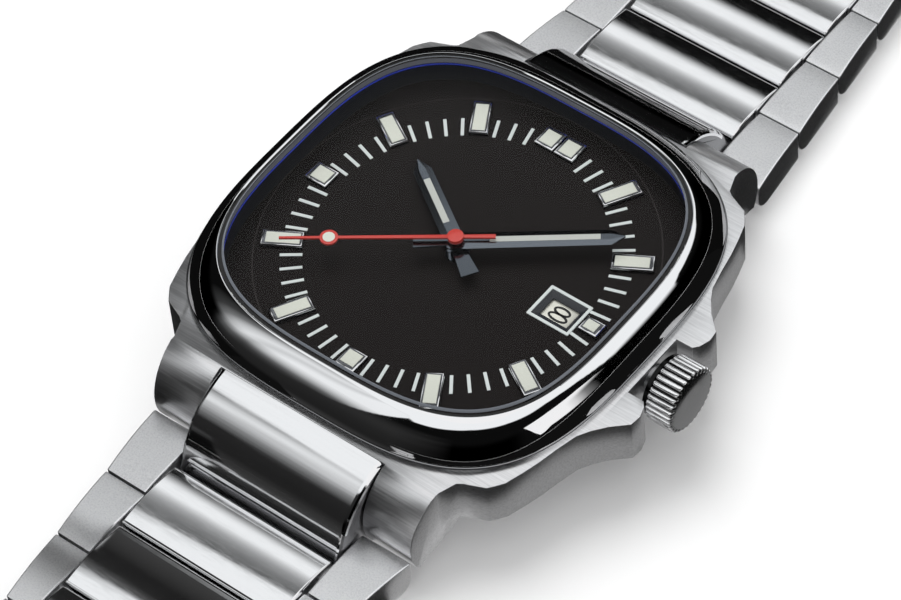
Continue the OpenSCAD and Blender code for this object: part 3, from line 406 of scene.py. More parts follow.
def vectors(tree, operation, *values):
    """Output of a Vector Math node: a number for a length, a vector for the others."""
    made = add_node(tree, "ShaderNodeVectorMath", enumerate(values), operation=operation)
    return made.outputs["Value" if operation == "LENGTH" else "Vector"]


def object_place(tree):
    """Place on the object, in metres."""
    return add_node(tree, "ShaderNodeTexCoord").outputs["Object"]


def noise(tree, place, scale, detail, roughness=0.5):
    """Noise between 0 and 1."""
    inputs = [("Vector", place), ("Scale", scale), ("Detail", detail), ("Roughness", roughness)]
    return add_node(tree, "ShaderNodeTexNoise", inputs).outputs["Fac"]


def remap(tree, value, start, stop, low=0.0, high=1.0):
    """Carry a value from the range start to stop over to low to high."""
    inputs = [("Value", value), ("From Min", start), ("From Max", stop), ("To Min", low), ("To Max", high)]
    return add_node(tree, "ShaderNodeMapRange", inputs).outputs["Result"]


def blend(tree, factor, first, second):
    """Mix of two colours."""
    inputs = [("Factor", factor), ("A", first), ("B", second)]
    return add_node(tree, "ShaderNodeMix", inputs, data_type="RGBA").outputs["Result"]


def toned(tree, tint, pattern, contrast):
    """A colour that a pattern round zero makes lighter and darker."""
    shade = maths(tree, "MULTIPLY_ADD", pattern, contrast, 1.0)
    inputs = [(0, tint), ("Scale", shade)]
    return add_node(tree, "ShaderNodeVectorMath", inputs, operation="SCALE").outputs["Vector"]


def new_group(name, inputs, outputs):
    """An empty shader node group with named sockets, its inputs' outlets and its output node."""
    group = bpy.data.node_groups.new(name, "ShaderNodeTree")
    kinds = {"Colour": "NodeSocketColor", "Density": "NodeSocketVector", "Scale": "NodeSocketVector"}
    for socket, default in inputs.items():
        kind = kinds[socket] if isinstance(default, tuple) else "NodeSocketFloat"
        group.interface.new_socket(socket, in_out="INPUT", socket_type=kind).default_value = default
    for socket in outputs:
        group.interface.new_socket(socket, in_out="OUTPUT", socket_type=kinds.get(socket, "NodeSocketFloat"))
    return group, group.nodes.new("NodeGroupInput").outputs, group.nodes.new("NodeGroupOutput").inputs


def brushed_grain_group():
    """Fine lines of a brushed finish. Density is the grain per metre along each axis."""
    inputs = {"Density": ALONG_X, "Colour": (0.7, 0.7, 0.7, 1.0), "Contrast": 0.12, "Gloss": 0.3}
    group, given, out = new_group("Brushed grain", inputs, ("Colour", "Roughness", "Height"))
    place = object_place(group)
    lines = noise(group, vectors(group, "MULTIPLY", place, given["Density"]), 1.0, 3.0, 0.6)
    cloud_share, middle, gloss_share = 0.25, 0.625, 0.18
    both = maths(group, "MULTIPLY_ADD", noise(group, place, 260.0, 2.0), cloud_share, lines)
    pattern = maths(group, "SUBTRACT", both, middle)
    feed(group, out["Colour"], toned(group, given["Colour"], pattern, given["Contrast"]))
    feed(group, out["Roughness"], maths(group, "MULTIPLY_ADD", pattern, gloss_share, given["Gloss"]))
    feed(group, out["Height"], lines)
    return group


def handling_group():
    """Faint wiping marks on a polished surface: a roughness between Low and High, and a ripple height."""
    inputs = {"Scale": WIPED, "Low": 0.03, "High": 0.09}
    group, given, out = new_group("Handling marks", inputs, ("Roughness", "Height"))
    cloud = noise(group, vectors(group, "MULTIPLY", object_place(group), given["Scale"]), 1.0, 4.0)
    clean, wiped = 0.35, 0.7
    feed(group, out["Roughness"], remap(group, cloud, clean, wiped, given["Low"], given["High"]))
    feed(group, out["Height"], cloud)
    return group


def paint_grain_group():
    """Fine tooth of a matte paint or print: its colour, lighter and darker by Contrast, and a height."""
    inputs = {"Density": 9000.0, "Colour": (0.8, 0.8, 0.7, 1.0), "Contrast": 0.1}
    group, given, out = new_group("Paint tooth", inputs, ("Colour", "Height"))
    tooth = noise(group, object_place(group), given["Density"], 3.0)
    pattern = maths(group, "SUBTRACT", tooth, 0.5)
    feed(group, out["Colour"], toned(group, given["Colour"], pattern, given["Contrast"]))
    feed(group, out["Height"], tooth)
    return group


GROUP_MAKERS = {"grain": brushed_grain_group, "handling": handling_group, "paint": paint_grain_group}
GROUPS = {}


def effect(tree, name, **values):
    """Outputs of one of the shared effects, placed in a material with its own values."""
    if name not in GROUPS:
        GROUPS[name] = GROUP_MAKERS[name]()
    made = add_node(tree, "ShaderNodeGroup", node_tree=GROUPS[name])
    for socket, value in values.items():
        made.inputs[socket].default_value = (*value, 1.0) if socket == "Colour" else value
    return made.outputs


def new_material(name, **sockets):
    """A material with its Principled shader's own sockets set."""
    material = bpy.data.materials.new(name)
    material.use_nodes = True
    shader = material.node_tree.nodes["Principled BSDF"]
    for socket, value in sockets.items():
        shader.inputs[socket.replace("_", " ")].default_value = value
    return material, material.node_tree, shader


def add_bump(tree, shader, height, distance_mm):
    """Feed a height into the shader's normal through a Bump node."""
    inputs = [("Strength", 1.0), ("Distance", distance_mm * MM), ("Height", height)]
    bump = add_node(tree, "ShaderNodeBump", inputs)
    tree.links.new(bump.outputs["Normal"], shader.inputs["Normal"])


def brushed_steel(name, tint, density, gloss, contrast, relief=0.004):
    """Steel brushed along the axis with the low density, or blasted where all three are the same."""
    material, tree, shader = new_material(name, Metallic=1.0)
    grain = effect(tree, "grain", Density=density, Colour=tint, Contrast=contrast, Gloss=gloss)
    tree.links.new(grain["Colour"], shader.inputs["Base Color"])
    tree.links.new(grain["Roughness"], shader.inputs["Roughness"])
    add_bump(tree, shader, grain["Height"], relief)
    return material


def polished_steel(name, tint, low, high, scale=WIPED, relief=0.0):
    """Polished steel with faint wiping marks, which relief gives a height."""
    material, tree, shader = new_material(name, Metallic=1.0, Base_Color=(*tint, 1.0))
    marks = effect(tree, "handling", Scale=scale, Low=low, High=high)
    tree.links.new(marks["Roughness"], shader.inputs["Roughness"])
    if relief:
        add_bump(tree, shader, marks["Height"], relief)
    return material


def painted(name, tint, rough, density=9000.0, contrast=0.1, **sockets):
    """Matte or satin paint with a fine tooth."""
    material, tree, shader = new_material(name, Roughness=rough, **sockets)
    tooth = effect(tree, "paint", Density=density, Colour=tint, Contrast=contrast)
    tree.links.new(tooth["Colour"], shader.inputs["Base Color"])
    add_bump(tree, shader, tooth["Height"], PAINT_RELIEF)
    return material


FINISHES = {}


def finish(name):
    """The material of that name, made on first use from the settings."""
    if name in FINISHES:
        return FINISHES[name]
    case = bpy.context.scene.watch_case
    dial = bpy.context.scene.watch_dial
    polished, brushed = tuple(case.polished), tuple(case.brushed)
    pale = tuple(min(1.0, 1.25 * c) for c in brushed)
    makers = {
        "bezel_polish": lambda: polished_steel("bezel polish", polished, 0.02, 0.05),
        "link_polish": lambda: polished_steel("link polish", polished, 0.05, 0.11, LINK_LINES),
        "end_polish": lambda: polished_steel("end link polish", polished, 0.04, 0.13, END_LINES, 0.0022),
        "case_brushed": lambda: brushed_steel("case brushed", brushed, CASE_LINES, 0.32, 0.7, 0.006),
        "link_brushed": lambda: brushed_steel("link brushed", pale, BLASTED, 0.34, 0.6, 0.008),
        "crown_steel": crown_finish,
        "inner_steel": lambda: brushed_steel("inner steel", (0.5, 0.5, 0.52), EVEN, 0.35, 0.1),
        # Dark steel of the pins, also used as painted shade on the bezel's foot ledge, the end links and the
        # outer links' noses
        "pin_steel_and_painted_shade": lambda: brushed_steel("pin steel", (0.3, 0.3, 0.31), ALONG_X, 0.35, 0.1),
        "brass": lambda: brushed_steel("plated brass", (0.72, 0.52, 0.24), EVEN, 0.3, 0.12),
        "bridge_steel": lambda: brushed_steel("bridge steel", (0.62, 0.62, 0.62), ALONG_Y, 0.3, 0.2),
        "blued_steel": lambda: brushed_steel("blued steel", (0.05, 0.09, 0.35), EVEN, 0.22, 0.1),
        "rubber": lambda: painted("seal rubber", (0.02, 0.02, 0.02), 0.7),
        "grey_plastic": lambda: painted("grey plastic", (0.2, 0.2, 0.2), 0.5),
        "gasket": lambda: painted("crystal seal", (0.2, 0.21, 0.24), 0.3),
        "dial": dial_finish,
        "flange": flange_finish,
        "print": lambda: painted("white print", tuple(dial.print_white), 0.45, 12000.0, 0.08),
        "lume": lambda: painted("luminous paint", tuple(dial.lume), 0.65, 7000.0, 0.14),
        "hand_lume": lambda: painted("hand strip", tuple(dial.hand_lume), 0.6, 7000.0, 0.2),
        "ink": lambda: painted("black ink", (0.012, 0.012, 0.012), 0.5, 12000.0, 0.2),
        "date_disc": lambda: painted("date disc", (0.74, 0.74, 0.66), 0.55, 8000.0, 0.06),
        "window_grey": lambda: painted("window bevel", (0.02, 0.022, 0.027), 0.35, 9000.0, 0.2),
        "hands": lambda: brushed_steel("hand steel", tuple(dial.hand_grey), EVEN, 0.15, 0.15, 0.0006),
        # Painted dark reflection and shade for the markers' flats and inner walls
        "marker_painted_dark": lambda: polished_steel("marker flat", (0.2, 0.205, 0.22), 0.12, 0.2),
        "marker_polish": lambda: polished_steel("marker polish", polished, 0.05, 0.12),
        "seconds": lambda: painted("red lacquer", tuple(dial.seconds_red), 0.3, Coat_Weight=0.3),
        # Painted reflection: a grey-blue colour on the crystal's chamfer for what its edge reflects and
        # refracts
        "chamfer_painted_reflection": lambda: painted("ground glass edge", (0.17, 0.185, 0.21), 0.22, 9000.0, 0.3),
        "crystal": crystal_finish,
    }
    FINISHES[name] = makers[name]()
    return FINISHES[name]


def dial_finish():
    """Satin black-brown dial with fine tooth and one faint turned line."""
    settings = bpy.context.scene.watch_dial
    material, tree, shader = new_material("dial satin", Roughness=0.45, Specular_IOR_Level=0.1)
    tooth = effect(tree, "paint", Density=6000.0, Colour=tuple(settings.ground), Contrast=0.5)
    reach = vectors(tree, "LENGTH", vectors(tree, "MULTIPLY", object_place(tree), (1.0, 1.0, 0.0)))
    off = maths(tree, "ABSOLUTE", maths(tree, "SUBTRACT", reach, settings.ring_radius))
    full, gone = 0.02 * MM, 0.09 * MM
    line = remap(tree, off, full, gone, 1.0, 0.0)
    tone = blend(tree, line, tooth["Colour"], (0.03, 0.027, 0.026, 1.0))
    tree.links.new(tone, shader.inputs["Base Color"])
    add_bump(tree, shader, tooth["Height"], PAINT_RELIEF)
    return material


def flange_finish():
    """Dark ring under the crystal, with a painted reflection of the crystal's coating as a blue line along its
    upper edge.
    """
    material, tree, shader = new_material("flange satin", Roughness=0.3)
    tooth = effect(tree, "paint", Density=9000.0, Colour=(0.01, 0.011, 0.015), Contrast=0.1)
    height = add_node(tree, "ShaderNodeSeparateXYZ", [(0, object_place(tree))]).outputs["Z"]
    line_height, full, gone = (FLANGE_HIGH.z - 0.1) * MM, 0.04 * MM, 0.11 * MM
    off = maths(tree, "ABSOLUTE", maths(tree, "SUBTRACT", height, line_height))
    edge = remap(tree, off, full, gone, 1.0, 0.0)
    # Painted reflection: this colour along the upper edge stands for the crystal coating's reflection
    blue = (0.02, 0.06, 0.75, 1.0)
    tree.links.new(blend(tree, edge, tooth["Colour"], blue), shader.inputs["Base Color"])
    return material


def crown_finish():
    """Polished steel with painted shade and highlight: dark grooves and collar, a mid-tone end face, lighter
    ridges.
    """
    case = bpy.context.scene.watch_case
    material, tree, shader = new_material("crown steel", Metallic=1.0)
    marks = effect(tree, "handling", Low=0.14, High=0.22)
    place = object_place(tree)
    centre = (CROWN_LOW.z + CROWN_HIGH.z) / 2 * MM
    from_axis = vectors(tree, "MULTIPLY_ADD", place, (0.0, 1.0, 1.0), (0.0, 0.0, -centre))
    reach = vectors(tree, "LENGTH", from_axis)
    groove, ridge = CROWN_HIGH.y - 0.24, CROWN_HIGH.y - 0.1
    ridges = remap(tree, reach, groove * MM, ridge * MM)
    along = add_node(tree, "ShaderNodeSeparateXYZ", [(0, place)]).outputs["X"]
    # Painted shade in the grooves and on the collar, a painted mid tone on the end face, and a painted lighter
    # tone on the ridges
    end_face, end_face_painted_tone = maths(tree, "GREATER_THAN", along, (CROWN_HIGH.x - 0.1) * MM), 0.45
    clear = maths(tree, "MAXIMUM", ridges, maths(tree, "MULTIPLY", end_face, end_face_painted_tone))
    painted_groove_shade, bright = (0.015, 0.015, 0.015, 1.0), (*(min(1.0, 1.13 * c) for c in case.polished), 1.0)
    tree.links.new(blend(tree, clear, painted_groove_shade, bright), shader.inputs["Base Color"])
    tree.links.new(marks["Roughness"], shader.inputs["Roughness"])
    return material


def crystal_finish():
    """Clear coated glass: the coat gives the reflections, and the low index keeps the dial in place."""
    return new_material("crystal glass", Base_Color=(1.0, 1.0, 1.0, 1.0), Roughness=0.0,
                        Transmission_Weight=1.0, IOR=1.02, Coat_Weight=0.12, Coat_Roughness=0.0)[0]


# Pieces


class WATCH_OT_bezel(bpy.types.Operator):
    """Cushion bezel: a ledge at its foot, a convex polished slope and a flat rim round the crystal"""

    bl_idname = "watch.bezel"
    bl_label = "Bezel"

    def execute(self, context):
        case = context.scene.watch_case
        rim_x, rim_y, ledge = case.rim_x / MM, case.rim_y / MM, case.foot_ledge / MM
        half_x, half_y = BEZEL_HIGH.x, BEZEL_HIGH.y
        ledge_height, skirt = 0.55, 0.25
        foot, top, low = BEZEL_LOW.z + ledge_height, BEZEL_HIGH.z, BEZEL_LOW.z
        profile = [(half_x - skirt, half_y - skirt, low), (half_x - 0.04, half_y - 0.04, foot - 0.16),
                   (half_x, half_y, foot - 0.08), (half_x - 0.03, half_y - 0.03, foot - 0.01),
                   (half_x - ledge, half_y - ledge, foot + 0.02)]
        slope_x, slope_y, slope_foot = half_x - ledge - 0.02, half_y - ledge - 0.02, foot + 0.05
        inner_x, inner_y = rim_x + 0.14, rim_y + 0.14
        steps = 26
        for i in range(steps + 1):
            # Half way between a straight slope and a quarter of an ellipse
            t = i / steps
            share = 0.5 * (1 - t) + 0.5 * math.cos(math.pi / 2 * t)
            rise = 0.5 * t + 0.5 * math.sin(math.pi / 2 * t)
            profile.append((inner_x + (slope_x - inner_x) * share, inner_y + (slope_y - inner_y) * share,
                            slope_foot + (top - slope_foot) * rise))
        lip, groove_x, groove_y = top - 0.25, rim_x + 0.35, rim_y + 0.35
        under_x, under_y = FLANGE_HIGH.x + 0.1, FLANGE_HIGH.y + 0.1
        profile += [(rim_x + 0.06, rim_y + 0.06, top), (rim_x, rim_y, top - 0.06), (rim_x, rim_y, lip),
                    (groove_x, groove_y, lip), (groove_x, groove_y, CRYSTAL_LOW.z),
                    (under_x, under_y, CRYSTAL_LOW.z), (under_x, under_y, low)]
        bezel = cushion_piece("bezel_polished", profile, "bezel_polish", ["bezel"], 28, 360)
        # Painted shade: the foot ledge gets the dark steel, which dims the thin bright line it would show
        second_finish(bezel, "pin_steel_and_painted_shade", lambda spot, normal: foot - 0.09 < spot.z < foot + 0.03)
        return {"FINISHED"}


class WATCH_OT_crystal(bpy.types.Operator):
    """Flat crystal with a chamfered edge, its seal and the slope ring under it"""

    bl_idname = "watch.crystal"
    bl_label = "Crystal and flange"

    def execute(self, context):
        case = context.scene.watch_case
        rim_x, rim_y, chamfer = case.rim_x / MM, case.rim_y / MM, case.chamfer / MM
        a, b = rim_x - case.joint / MM, rim_y - case.joint / MM
        low, top = CRYSTAL_LOW.z, CRYSTAL_HIGH.z
        shoulder = chamfer + 0.02
        profile = [(a - 0.08, b - 0.08, low), (a, b, low + 0.08), (a, b, top - shoulder),
                   (a - shoulder, b - shoulder, top - 0.01),
                   (a - shoulder - 0.02, b - shoulder - 0.02, top - 0.01)]
        glass = cushion_piece("crystal_clear", profile, "crystal", ["crystal"], 20,
                              capped=True)
        glass.visible_shadow = False
        glass.visible_diffuse = False
        glass.visible_glossy = False
        profile = [(a - 0.02, b - 0.02, top - chamfer - 0.06), (a + 0.02, b + 0.02, top - chamfer - 0.04),
                   (a + 0.01, b + 0.01, top - chamfer), (a - chamfer, b - chamfer, top - 0.01),
                   (a - shoulder, b - shoulder, top - 0.02), (a - 0.04, b - 0.04, top - chamfer - 0.04)]
        # The chamfer ring's grey-blue colour is a painted reflection of the crystal's edge
        cushion_piece("crystal_chamfer", profile, "chamfer_painted_reflection", ["crystal"], 50)
        self.flange(rim_x, rim_y)
        self.seal(rim_x, rim_y, a + 0.01, b + 0.01)
        return {"FINISHED"}

    def flange(self, rim_x, rim_y):
        """The slope ring between the dial and the crystal."""
        half_x, half_y, low, top = FLANGE_HIGH.x, FLANGE_HIGH.y, FLANGE_LOW.z, FLANGE_HIGH.z
        foot_x = foot_y = 16.4
        profile = [(half_x, half_y, low), (half_x, half_y, top), (rim_x - 0.3, rim_y - 0.3, top),
                   (rim_x - 0.35, rim_y - 0.35, top - 0.05), (rim_x - 0.34, rim_y - 0.26, top - 0.35),
                   (foot_x, foot_y, low)]
        cushion_piece("dial_flange", profile, "flange", ["flange"])

    def seal(self, rim_x, rim_y, inner_x, inner_y):
        """The crystal's seal, and the dark joint that shows of it."""
        low, high = box_mm("crystal_gasket")
        lid = high.z + 0.02
        profile = [(high.x, high.y, low.z), (high.x, high.y, high.z), (rim_x - 0.02, rim_y - 0.02, lid),
                   (inner_x, inner_y, lid), (inner_x, inner_y, low.z)]
        cushion_piece("crystal_seal", profile, "gasket", ["crystal_gasket"])
        foot, top = high.z + 0.03, high.z + 0.1
        profile = [(inner_x, inner_y, foot), (inner_x + 0.01, inner_y + 0.01, top),
                   (rim_x - 0.01, rim_y - 0.01, top), (rim_x - 0.01, rim_y - 0.01, foot)]
        cushion_piece("crystal_joint", profile, "rubber", ["crystal_gasket"])


class WATCH_OT_case(bpy.types.Operator):
    """Brushed case middle, case back and the seals"""

    bl_idname = "watch.case"
    bl_label = "Case"

    def execute(self, context):
        edge = context.scene.watch_case.edge_break / MM
        dress(["case_middle"], "case_brushed", edge)
        dress(["case_back"], "inner_steel", edge)
        dress(["case_back_gasket", "crown_gasket"], "rubber")
        dress(["crown_tube", "spring_bars"], "pin_steel_and_painted_shade")
        dress(["movement_ring"], "grey_plastic")
        return {"FINISHED"}


class WATCH_OT_crown(bpy.types.Operator):
    """Fluted crown: round ridges with gaps painted dark as shade, a smooth collar and a flat end"""

    bl_idname = "watch.crown"
    bl_label = "Crown"

    def execute(self, context):
        flutes = context.scene.watch_case.flutes
        points_per_flute, dome, depth = 16, 0.012, 0.085
        radius, centre = CROWN_HIGH.y, (CROWN_LOW.z + CROWN_HIGH.z) / 2
        x0, x1 = CROWN_LOW.x, CROWN_HIGH.x
        fluted = x0 + 0.4

        def ridge(angle, x):
            if x < fluted + 0.1 or x > x1 - 0.06:
                return 1.0
            phase = abs((flutes * angle / (2 * math.pi)) % 1.0 - 0.5) * 2
            groove = max(0.0, min(1.0, (phase - 0.5) / 0.3))
            return 1.0 - dome * min(1.0, phase / 0.5) ** 2 - depth * groove

        profile = [(x0, radius - 1.3), (x0, radius - 0.35), (x0 + 0.08, radius - 0.25),
                   (fluted - 0.12, radius - 0.25), (fluted, radius - 0.25), (fluted + 0.1, radius - 0.24),
                   (fluted + 0.12, radius - 0.12), (fluted + 0.2, radius - 0.02), (fluted + 0.3, radius),
                   (x1 - 0.32, radius), (x1 - 0.2, radius - 0.02), (x1 - 0.12, radius - 0.1),
                   (x1 - 0.06, radius - 0.25), (x1 - 0.04, radius - 0.42), (x1, radius - 0.6),
                   (x1, radius - 2.0)]
        mesh = bmesh.new()
        lathe_x(mesh, profile, flutes * points_per_flute, centre, ridge)
        crown = finish_piece("crown_fluted", mesh, "crown_stem", "crown_steel",
                             ["crown"], 50)
        crown.visible_glossy = False
        dress(["winding_stem"], "pin_steel_and_painted_shade")
        dress(["sliding_pinion"], "inner_steel")
        return {"FINISHED"}


class WATCH_OT_dial(bpy.types.Operator):
    """Dial, printed minute strokes and the framed hour markers"""

    bl_idname = "watch.dial"
    bl_label = "Dial and markers"

    def execute(self, context):
        dress(["dial"], "dial", smooth=0)
        self.strokes()
        self.frames()
        dress(["marker_lume"], "lume", 0.02, smooth=0)
        return {"FINISHED"}

    def strokes(self):
        """Thin printed minute strokes, one at every minute without a marker."""
        low, high = box_mm("minute_track")
        half, reach = 0.14, 1.83
        outer, inner = high.y, high.y - reach
        mesh = bmesh.new()
        for minute in range(2, 59):
            if minute % 5 == 0:
                continue
            turn = turned(6 * minute)
            rings = []
            for inset, z in ((0.0, low.z), (0.0, high.z - 0.01), (0.015, high.z)):
                corners = box_ring(-half + inset, half - inset, inner + inset, outer - inset)
                rings.append([turn @ Vector((x, y, z)) for x, y in corners])
            loft(mesh, rings, capped=True)
        finish_piece("minute_strokes", mesh, "case", "print", ["minute_track"])

    def frames(self):
        """Applied frames of the markers: flats and inner walls round the paint painted dark as reflection and
        shade, and bright rounded edges.
        """
        low, high = box_mm("hour_markers")
        foot, top, edge = low.z, high.z, 0.2
        side, near, far = 0.08, 0.08, 0.2
        mesh = bmesh.new()
        for angle, distance, sideways, height, width in MARKERS:
            turn = turned(angle)
            outer = (-width / 2 - side, width / 2 + side, -height / 2 - near, height / 2 + far)
            inner = (-width / 2 + edge, width / 2 - edge, -height / 2 + edge, height / 2 - edge)
            levels = [(outer, 0.0, foot), (outer, 0.0, top - 0.13), (outer, 0.035, top - 0.05),
                      (outer, 0.08, top - 0.015), (outer, 0.14, top), (inner, -0.02, top),
                      (inner, 0.01, top - 0.03), (inner, 0.01, foot)]
            rings = []
            for (x0, x1, y0, y1), inset, z in levels:
                corners = box_ring(x0 + inset, x1 - inset, y0 + inset, y1 - inset)
                rings.append([turn @ Vector((sideways + x, distance + y, z)) for x, y in corners])
            loft(mesh, rings, closed=True)
        piece = finish_piece("marker_frames", mesh, "case", "marker_painted_dark", ["hour_markers"],
                             20)
        # The flats and inner walls keep the dark material, a painted dark reflection and shade; the sloping
        # edges get the bright polish
        second_finish(piece, "marker_polish", lambda spot, normal: 0.05 < normal.z < 0.999)


class WATCH_OT_date(bpy.types.Operator):
    """Date window with its white line and grey bevel, and the date disc with its numerals"""

    bl_idname = "watch.date"
    bl_label = "Date"

    def execute(self, context):
        centre = (DATE_LOW.x + DATE_HIGH.x) / 2
        width, height = DATE_HIGH.x - DATE_LOW.x, DATE_HIGH.y - DATE_LOW.y
        line, bottom, top = 0.27, DATE_LOW.z, DATE_HIGH.z
        inner_w, inner_h = width - 2 * line, height - 2 * line
        hole_w, hole_h = 2.6, 1.8
        self.ring("date_window_line", "print", centre,
                  [(width, height, 0.1, DIAL_TOP), (width, height, 0.1, top - 0.02),
                   (width - 0.05, height - 0.05, 0.08, top), (inner_w + 0.05, inner_h + 0.05, 0.06, top),
                   (inner_w, inner_h, 0.05, top - 0.02), (inner_w, inner_h, 0.05, DIAL_TOP)])
        self.ring("date_window_bevel", "window_grey", centre,
                  [(inner_w - 0.02, inner_h - 0.02, 0.04, bottom),
                   (inner_w - 0.02, inner_h - 0.02, 0.04, DIAL_TOP),
                   (inner_w - 0.1, inner_h - 0.1, 0.05, DIAL_TOP),
                   (hole_w + 0.06, hole_h + 0.06, 0.08, bottom + 0.08), (hole_w, hole_h, 0.08, bottom)])
        dress(["date_ring"], "date_disc")
        self.numerals(context, centre)
        return {"FINISHED"}

    def ring(self, name, look, centre, levels):
        """A ring round the window, from its (width, height, corner radius, z)."""
        mesh = bmesh.new()
        loft(mesh, [rounded_box_ring(centre, w, h, r, z) for w, h, r, z in levels], closed=True)
        finish_piece(name, mesh, "case", look, ["date_frame"])

    def numerals(self, context, centre):
        """One numeral for each day, printed on the disc."""
        today = context.scene.watch_dial.date
        days, top, height = 31, RING_HIGH.z, 1.5
        mesh = bmesh.new()
        for day in range(1, days + 1):
            angle = 2 * math.pi * (day - today) / days
            digits = str(day)
            width, gap = (1.86, 0.0) if len(digits) == 1 else (1.1, 0.12)
            start = -(len(digits) * width + (len(digits) - 1) * gap) / 2
            for place, digit in enumerate(digits):
                x = start + place * (width + gap) + width / 2
                draw_digit(mesh, digit, centre + x, width, height, angle, top)
        finish_piece("date_numerals", mesh, "date_disc", "ink", [])


def digit_strokes(digit):
    """Centre lines of a wide rounded digit, in a box from -1 to 1 along each side."""

    def arc(cx, cy, rx, ry, start, stop, steps=14):
        return [(cx + rx * x, cy + ry * y) for x, y in arc_points(0, 0, 1, start, stop, steps)]

    return {
        "0": [arc(0, 0, 1, 1, 0, 360, 28)],
        "1": [[(-0.45, 0.55), (0.1, 1), (0.1, -1)]],
        "2": [arc(0, 0.45, 0.9, 0.55, 165, -30) + [(-0.95, -1), (1, -1)]],
        "3": [arc(-0.05, 0.5, 0.85, 0.5, 160, -80), arc(-0.05, -0.48, 1, 0.52, 85, -160)],
        "4": [[(0.5, -1), (0.5, 1), (-1, -0.4), (1, -0.4)]],
        "5": [[(0.85, 1), (-0.7, 1), (-0.8, 0.15)] + arc(0, -0.38, 0.95, 0.62, 130, -155)],
        "6": [[(0.75, 0.9)] + arc(0.1, 0, 1.05, 1, 75, 180) + arc(0, -0.42, 0.95, 0.58, 180, 540, 22)],
        "7": [[(-1, 1), (0.95, 1), (-0.25, -1)]],
        "8": [arc(0, 0.5, 0.84, 0.5, 0, 360, 24), arc(0, -0.5, 1, 0.5, 0, 360, 24)],
        "9": [arc(0, 0.42, 0.95, 0.58, 0, 360, 22) + arc(-0.1, 0, 1.05, 1, 0, -105)],
    }[digit]


def draw_digit(mesh, digit, x, width, height, angle, top, pen=0.2, thick=0.02):
    """Lay one digit on the date disc as flat strokes of the pen's width, then turn it round the dial."""
    turn = Matrix.Rotation(angle, 3, "Z")
    rx, ry = (width - pen) / 2, (height - pen) / 2
    for stroke in digit_strokes(digit):
        line = [Vector((px * rx, py * ry)) for px, py in stroke]
        ring = (line[0] - line[-1]).length < 1e-6
        if ring:
            line = line[:-1]
        sections = []
        for i, point in enumerate(line):
            before = line[i - 1] if (i or ring) else point
            after = line[(i + 1) % len(line)] if (ring or i + 1 < len(line)) else point
            along = (after - before).normalized()
            side = Vector((-along.y, along.x)) * pen / 2
            left, right = point + side, point - side
            corners = [(left, 0.0), (left, thick), (right, thick), (right, 0.0)]
            sections.append([turn @ Vector((x + p.x, p.y, top + z)) for p, z in corners])
        loft(mesh, sections, closed=ring, capped=not ring)


# Node, body, direction clockwise from twelve, and stations (distance, half width) of the two grey hands
HANDS = (
    ("hour_hand", "hour_work", 303.0, [(-3.35, 0.78), (0.0, 0.5), (0.05, 0.8), (8.4, 0.78), (9.58, 0.03)]),
    ("minute_hand", "minute_work", 53.2,
     [(-3.4, 0.66), (0.0, 0.5), (0.05, 0.84), (12.3, 0.78), (13.48, 0.03)]),
)


class WATCH_OT_hands(bpy.types.Operator):
    """Faceted hour and minute hands and the red seconds hand, with their luminous strips"""

    bl_idname = "watch.hands"
    bl_label = "Hands"

    def execute(self, context):
        for node, body, direction, stations in HANDS:
            self.faceted(node, body, direction, stations)
        dress(["seconds_hand"], "seconds", 0.04, smooth=30)
        dress(["hour_hand_lume", "minute_hand_lume"], "hand_lume", smooth=0)
        dress(["seconds_hand_lume"], "lume", smooth=0)
        return {"FINISHED"}

    def faceted(self, node, body, direction, stations):
        """A hand with two sloping facets beside its flat middle, and its round hub."""
        thickness, hub_radius = 0.17, 0.95
        top = box_mm(node)[1].z
        under = top - thickness
        turn = turned(direction)
        mesh = bmesh.new()
        rings = []
        for y, half in stations:
            ridge, drop = (min(0.28, half * 0.6), min(0.11, half * 0.3)) if y > 0 else (half - 0.04, 0.03)
            section = [(-half, under), (-half, top - drop), (-ridge, top), (ridge, top), (half, top - drop),
                       (half, under)]
            rings.append([turn @ Vector((x, y, z)) for x, z in section])
        loft(mesh, rings, capped=True)
        hub = []
        for radius, z in ((hub_radius, under), (hub_radius, top - 0.1), (hub_radius - 0.1, top - 0.01)):
            hub.append([(x, y, z) for x, y in arc_points(0, 0, radius, 0, 352.5, 47)])
        loft(mesh, hub, capped=True)
        finish_piece(node + "_facets", mesh, body, "hands", [node], 5)


class WATCH_OT_end_links(bpy.types.Operator):
    """Polished end links that bow down from the bezel to the first hinge"""

    bl_idname = "watch.end_links"
    bl_label = "End links"

    def execute(self, context):
        bracelet = context.scene.watch_bracelet
        hinge, pin = bracelet.first_hinge / MM, bracelet.pin_height / MM
        half = END_HIGH.x
        centre_y, centre_z, radius = 18.62, 1.31, 7.28
        start_y = 19.7
        top_angle = math.degrees(math.acos((start_y - centre_y) / radius))
        outline = [(start_y, 0.95), (hinge - 1.0, 0.35)] + arc_points(hinge, pin, pin, -128, 18, 12)
        outline += arc_points(centre_y, centre_z, radius, 16, top_angle, 26)

        nose_height, side_height = 2.05, 4.6

        # Painted shade: the nose by the first hinge and the lower sides get the dark steel, standing for the
        # shade there
        def worn(spot, normal):
            nose = abs(spot.y) > hinge + 0.6 and spot.z < nose_height
            return nose or (abs(normal.x) > 0.45 and spot.z < side_height)

        for name, mirrored in (("end_link_twelve", False), ("end_link_six", True)):
            mesh = bmesh.new()
            link_bar(mesh, outline, lambda y: -half, lambda y: half, 0.42, mirrored)
            piece = finish_piece(name, mesh, "case", "end_polish", ["end_links"], 26)
            second_finish(piece, "pin_steel_and_painted_shade", worn)
        return {"FINISHED"}


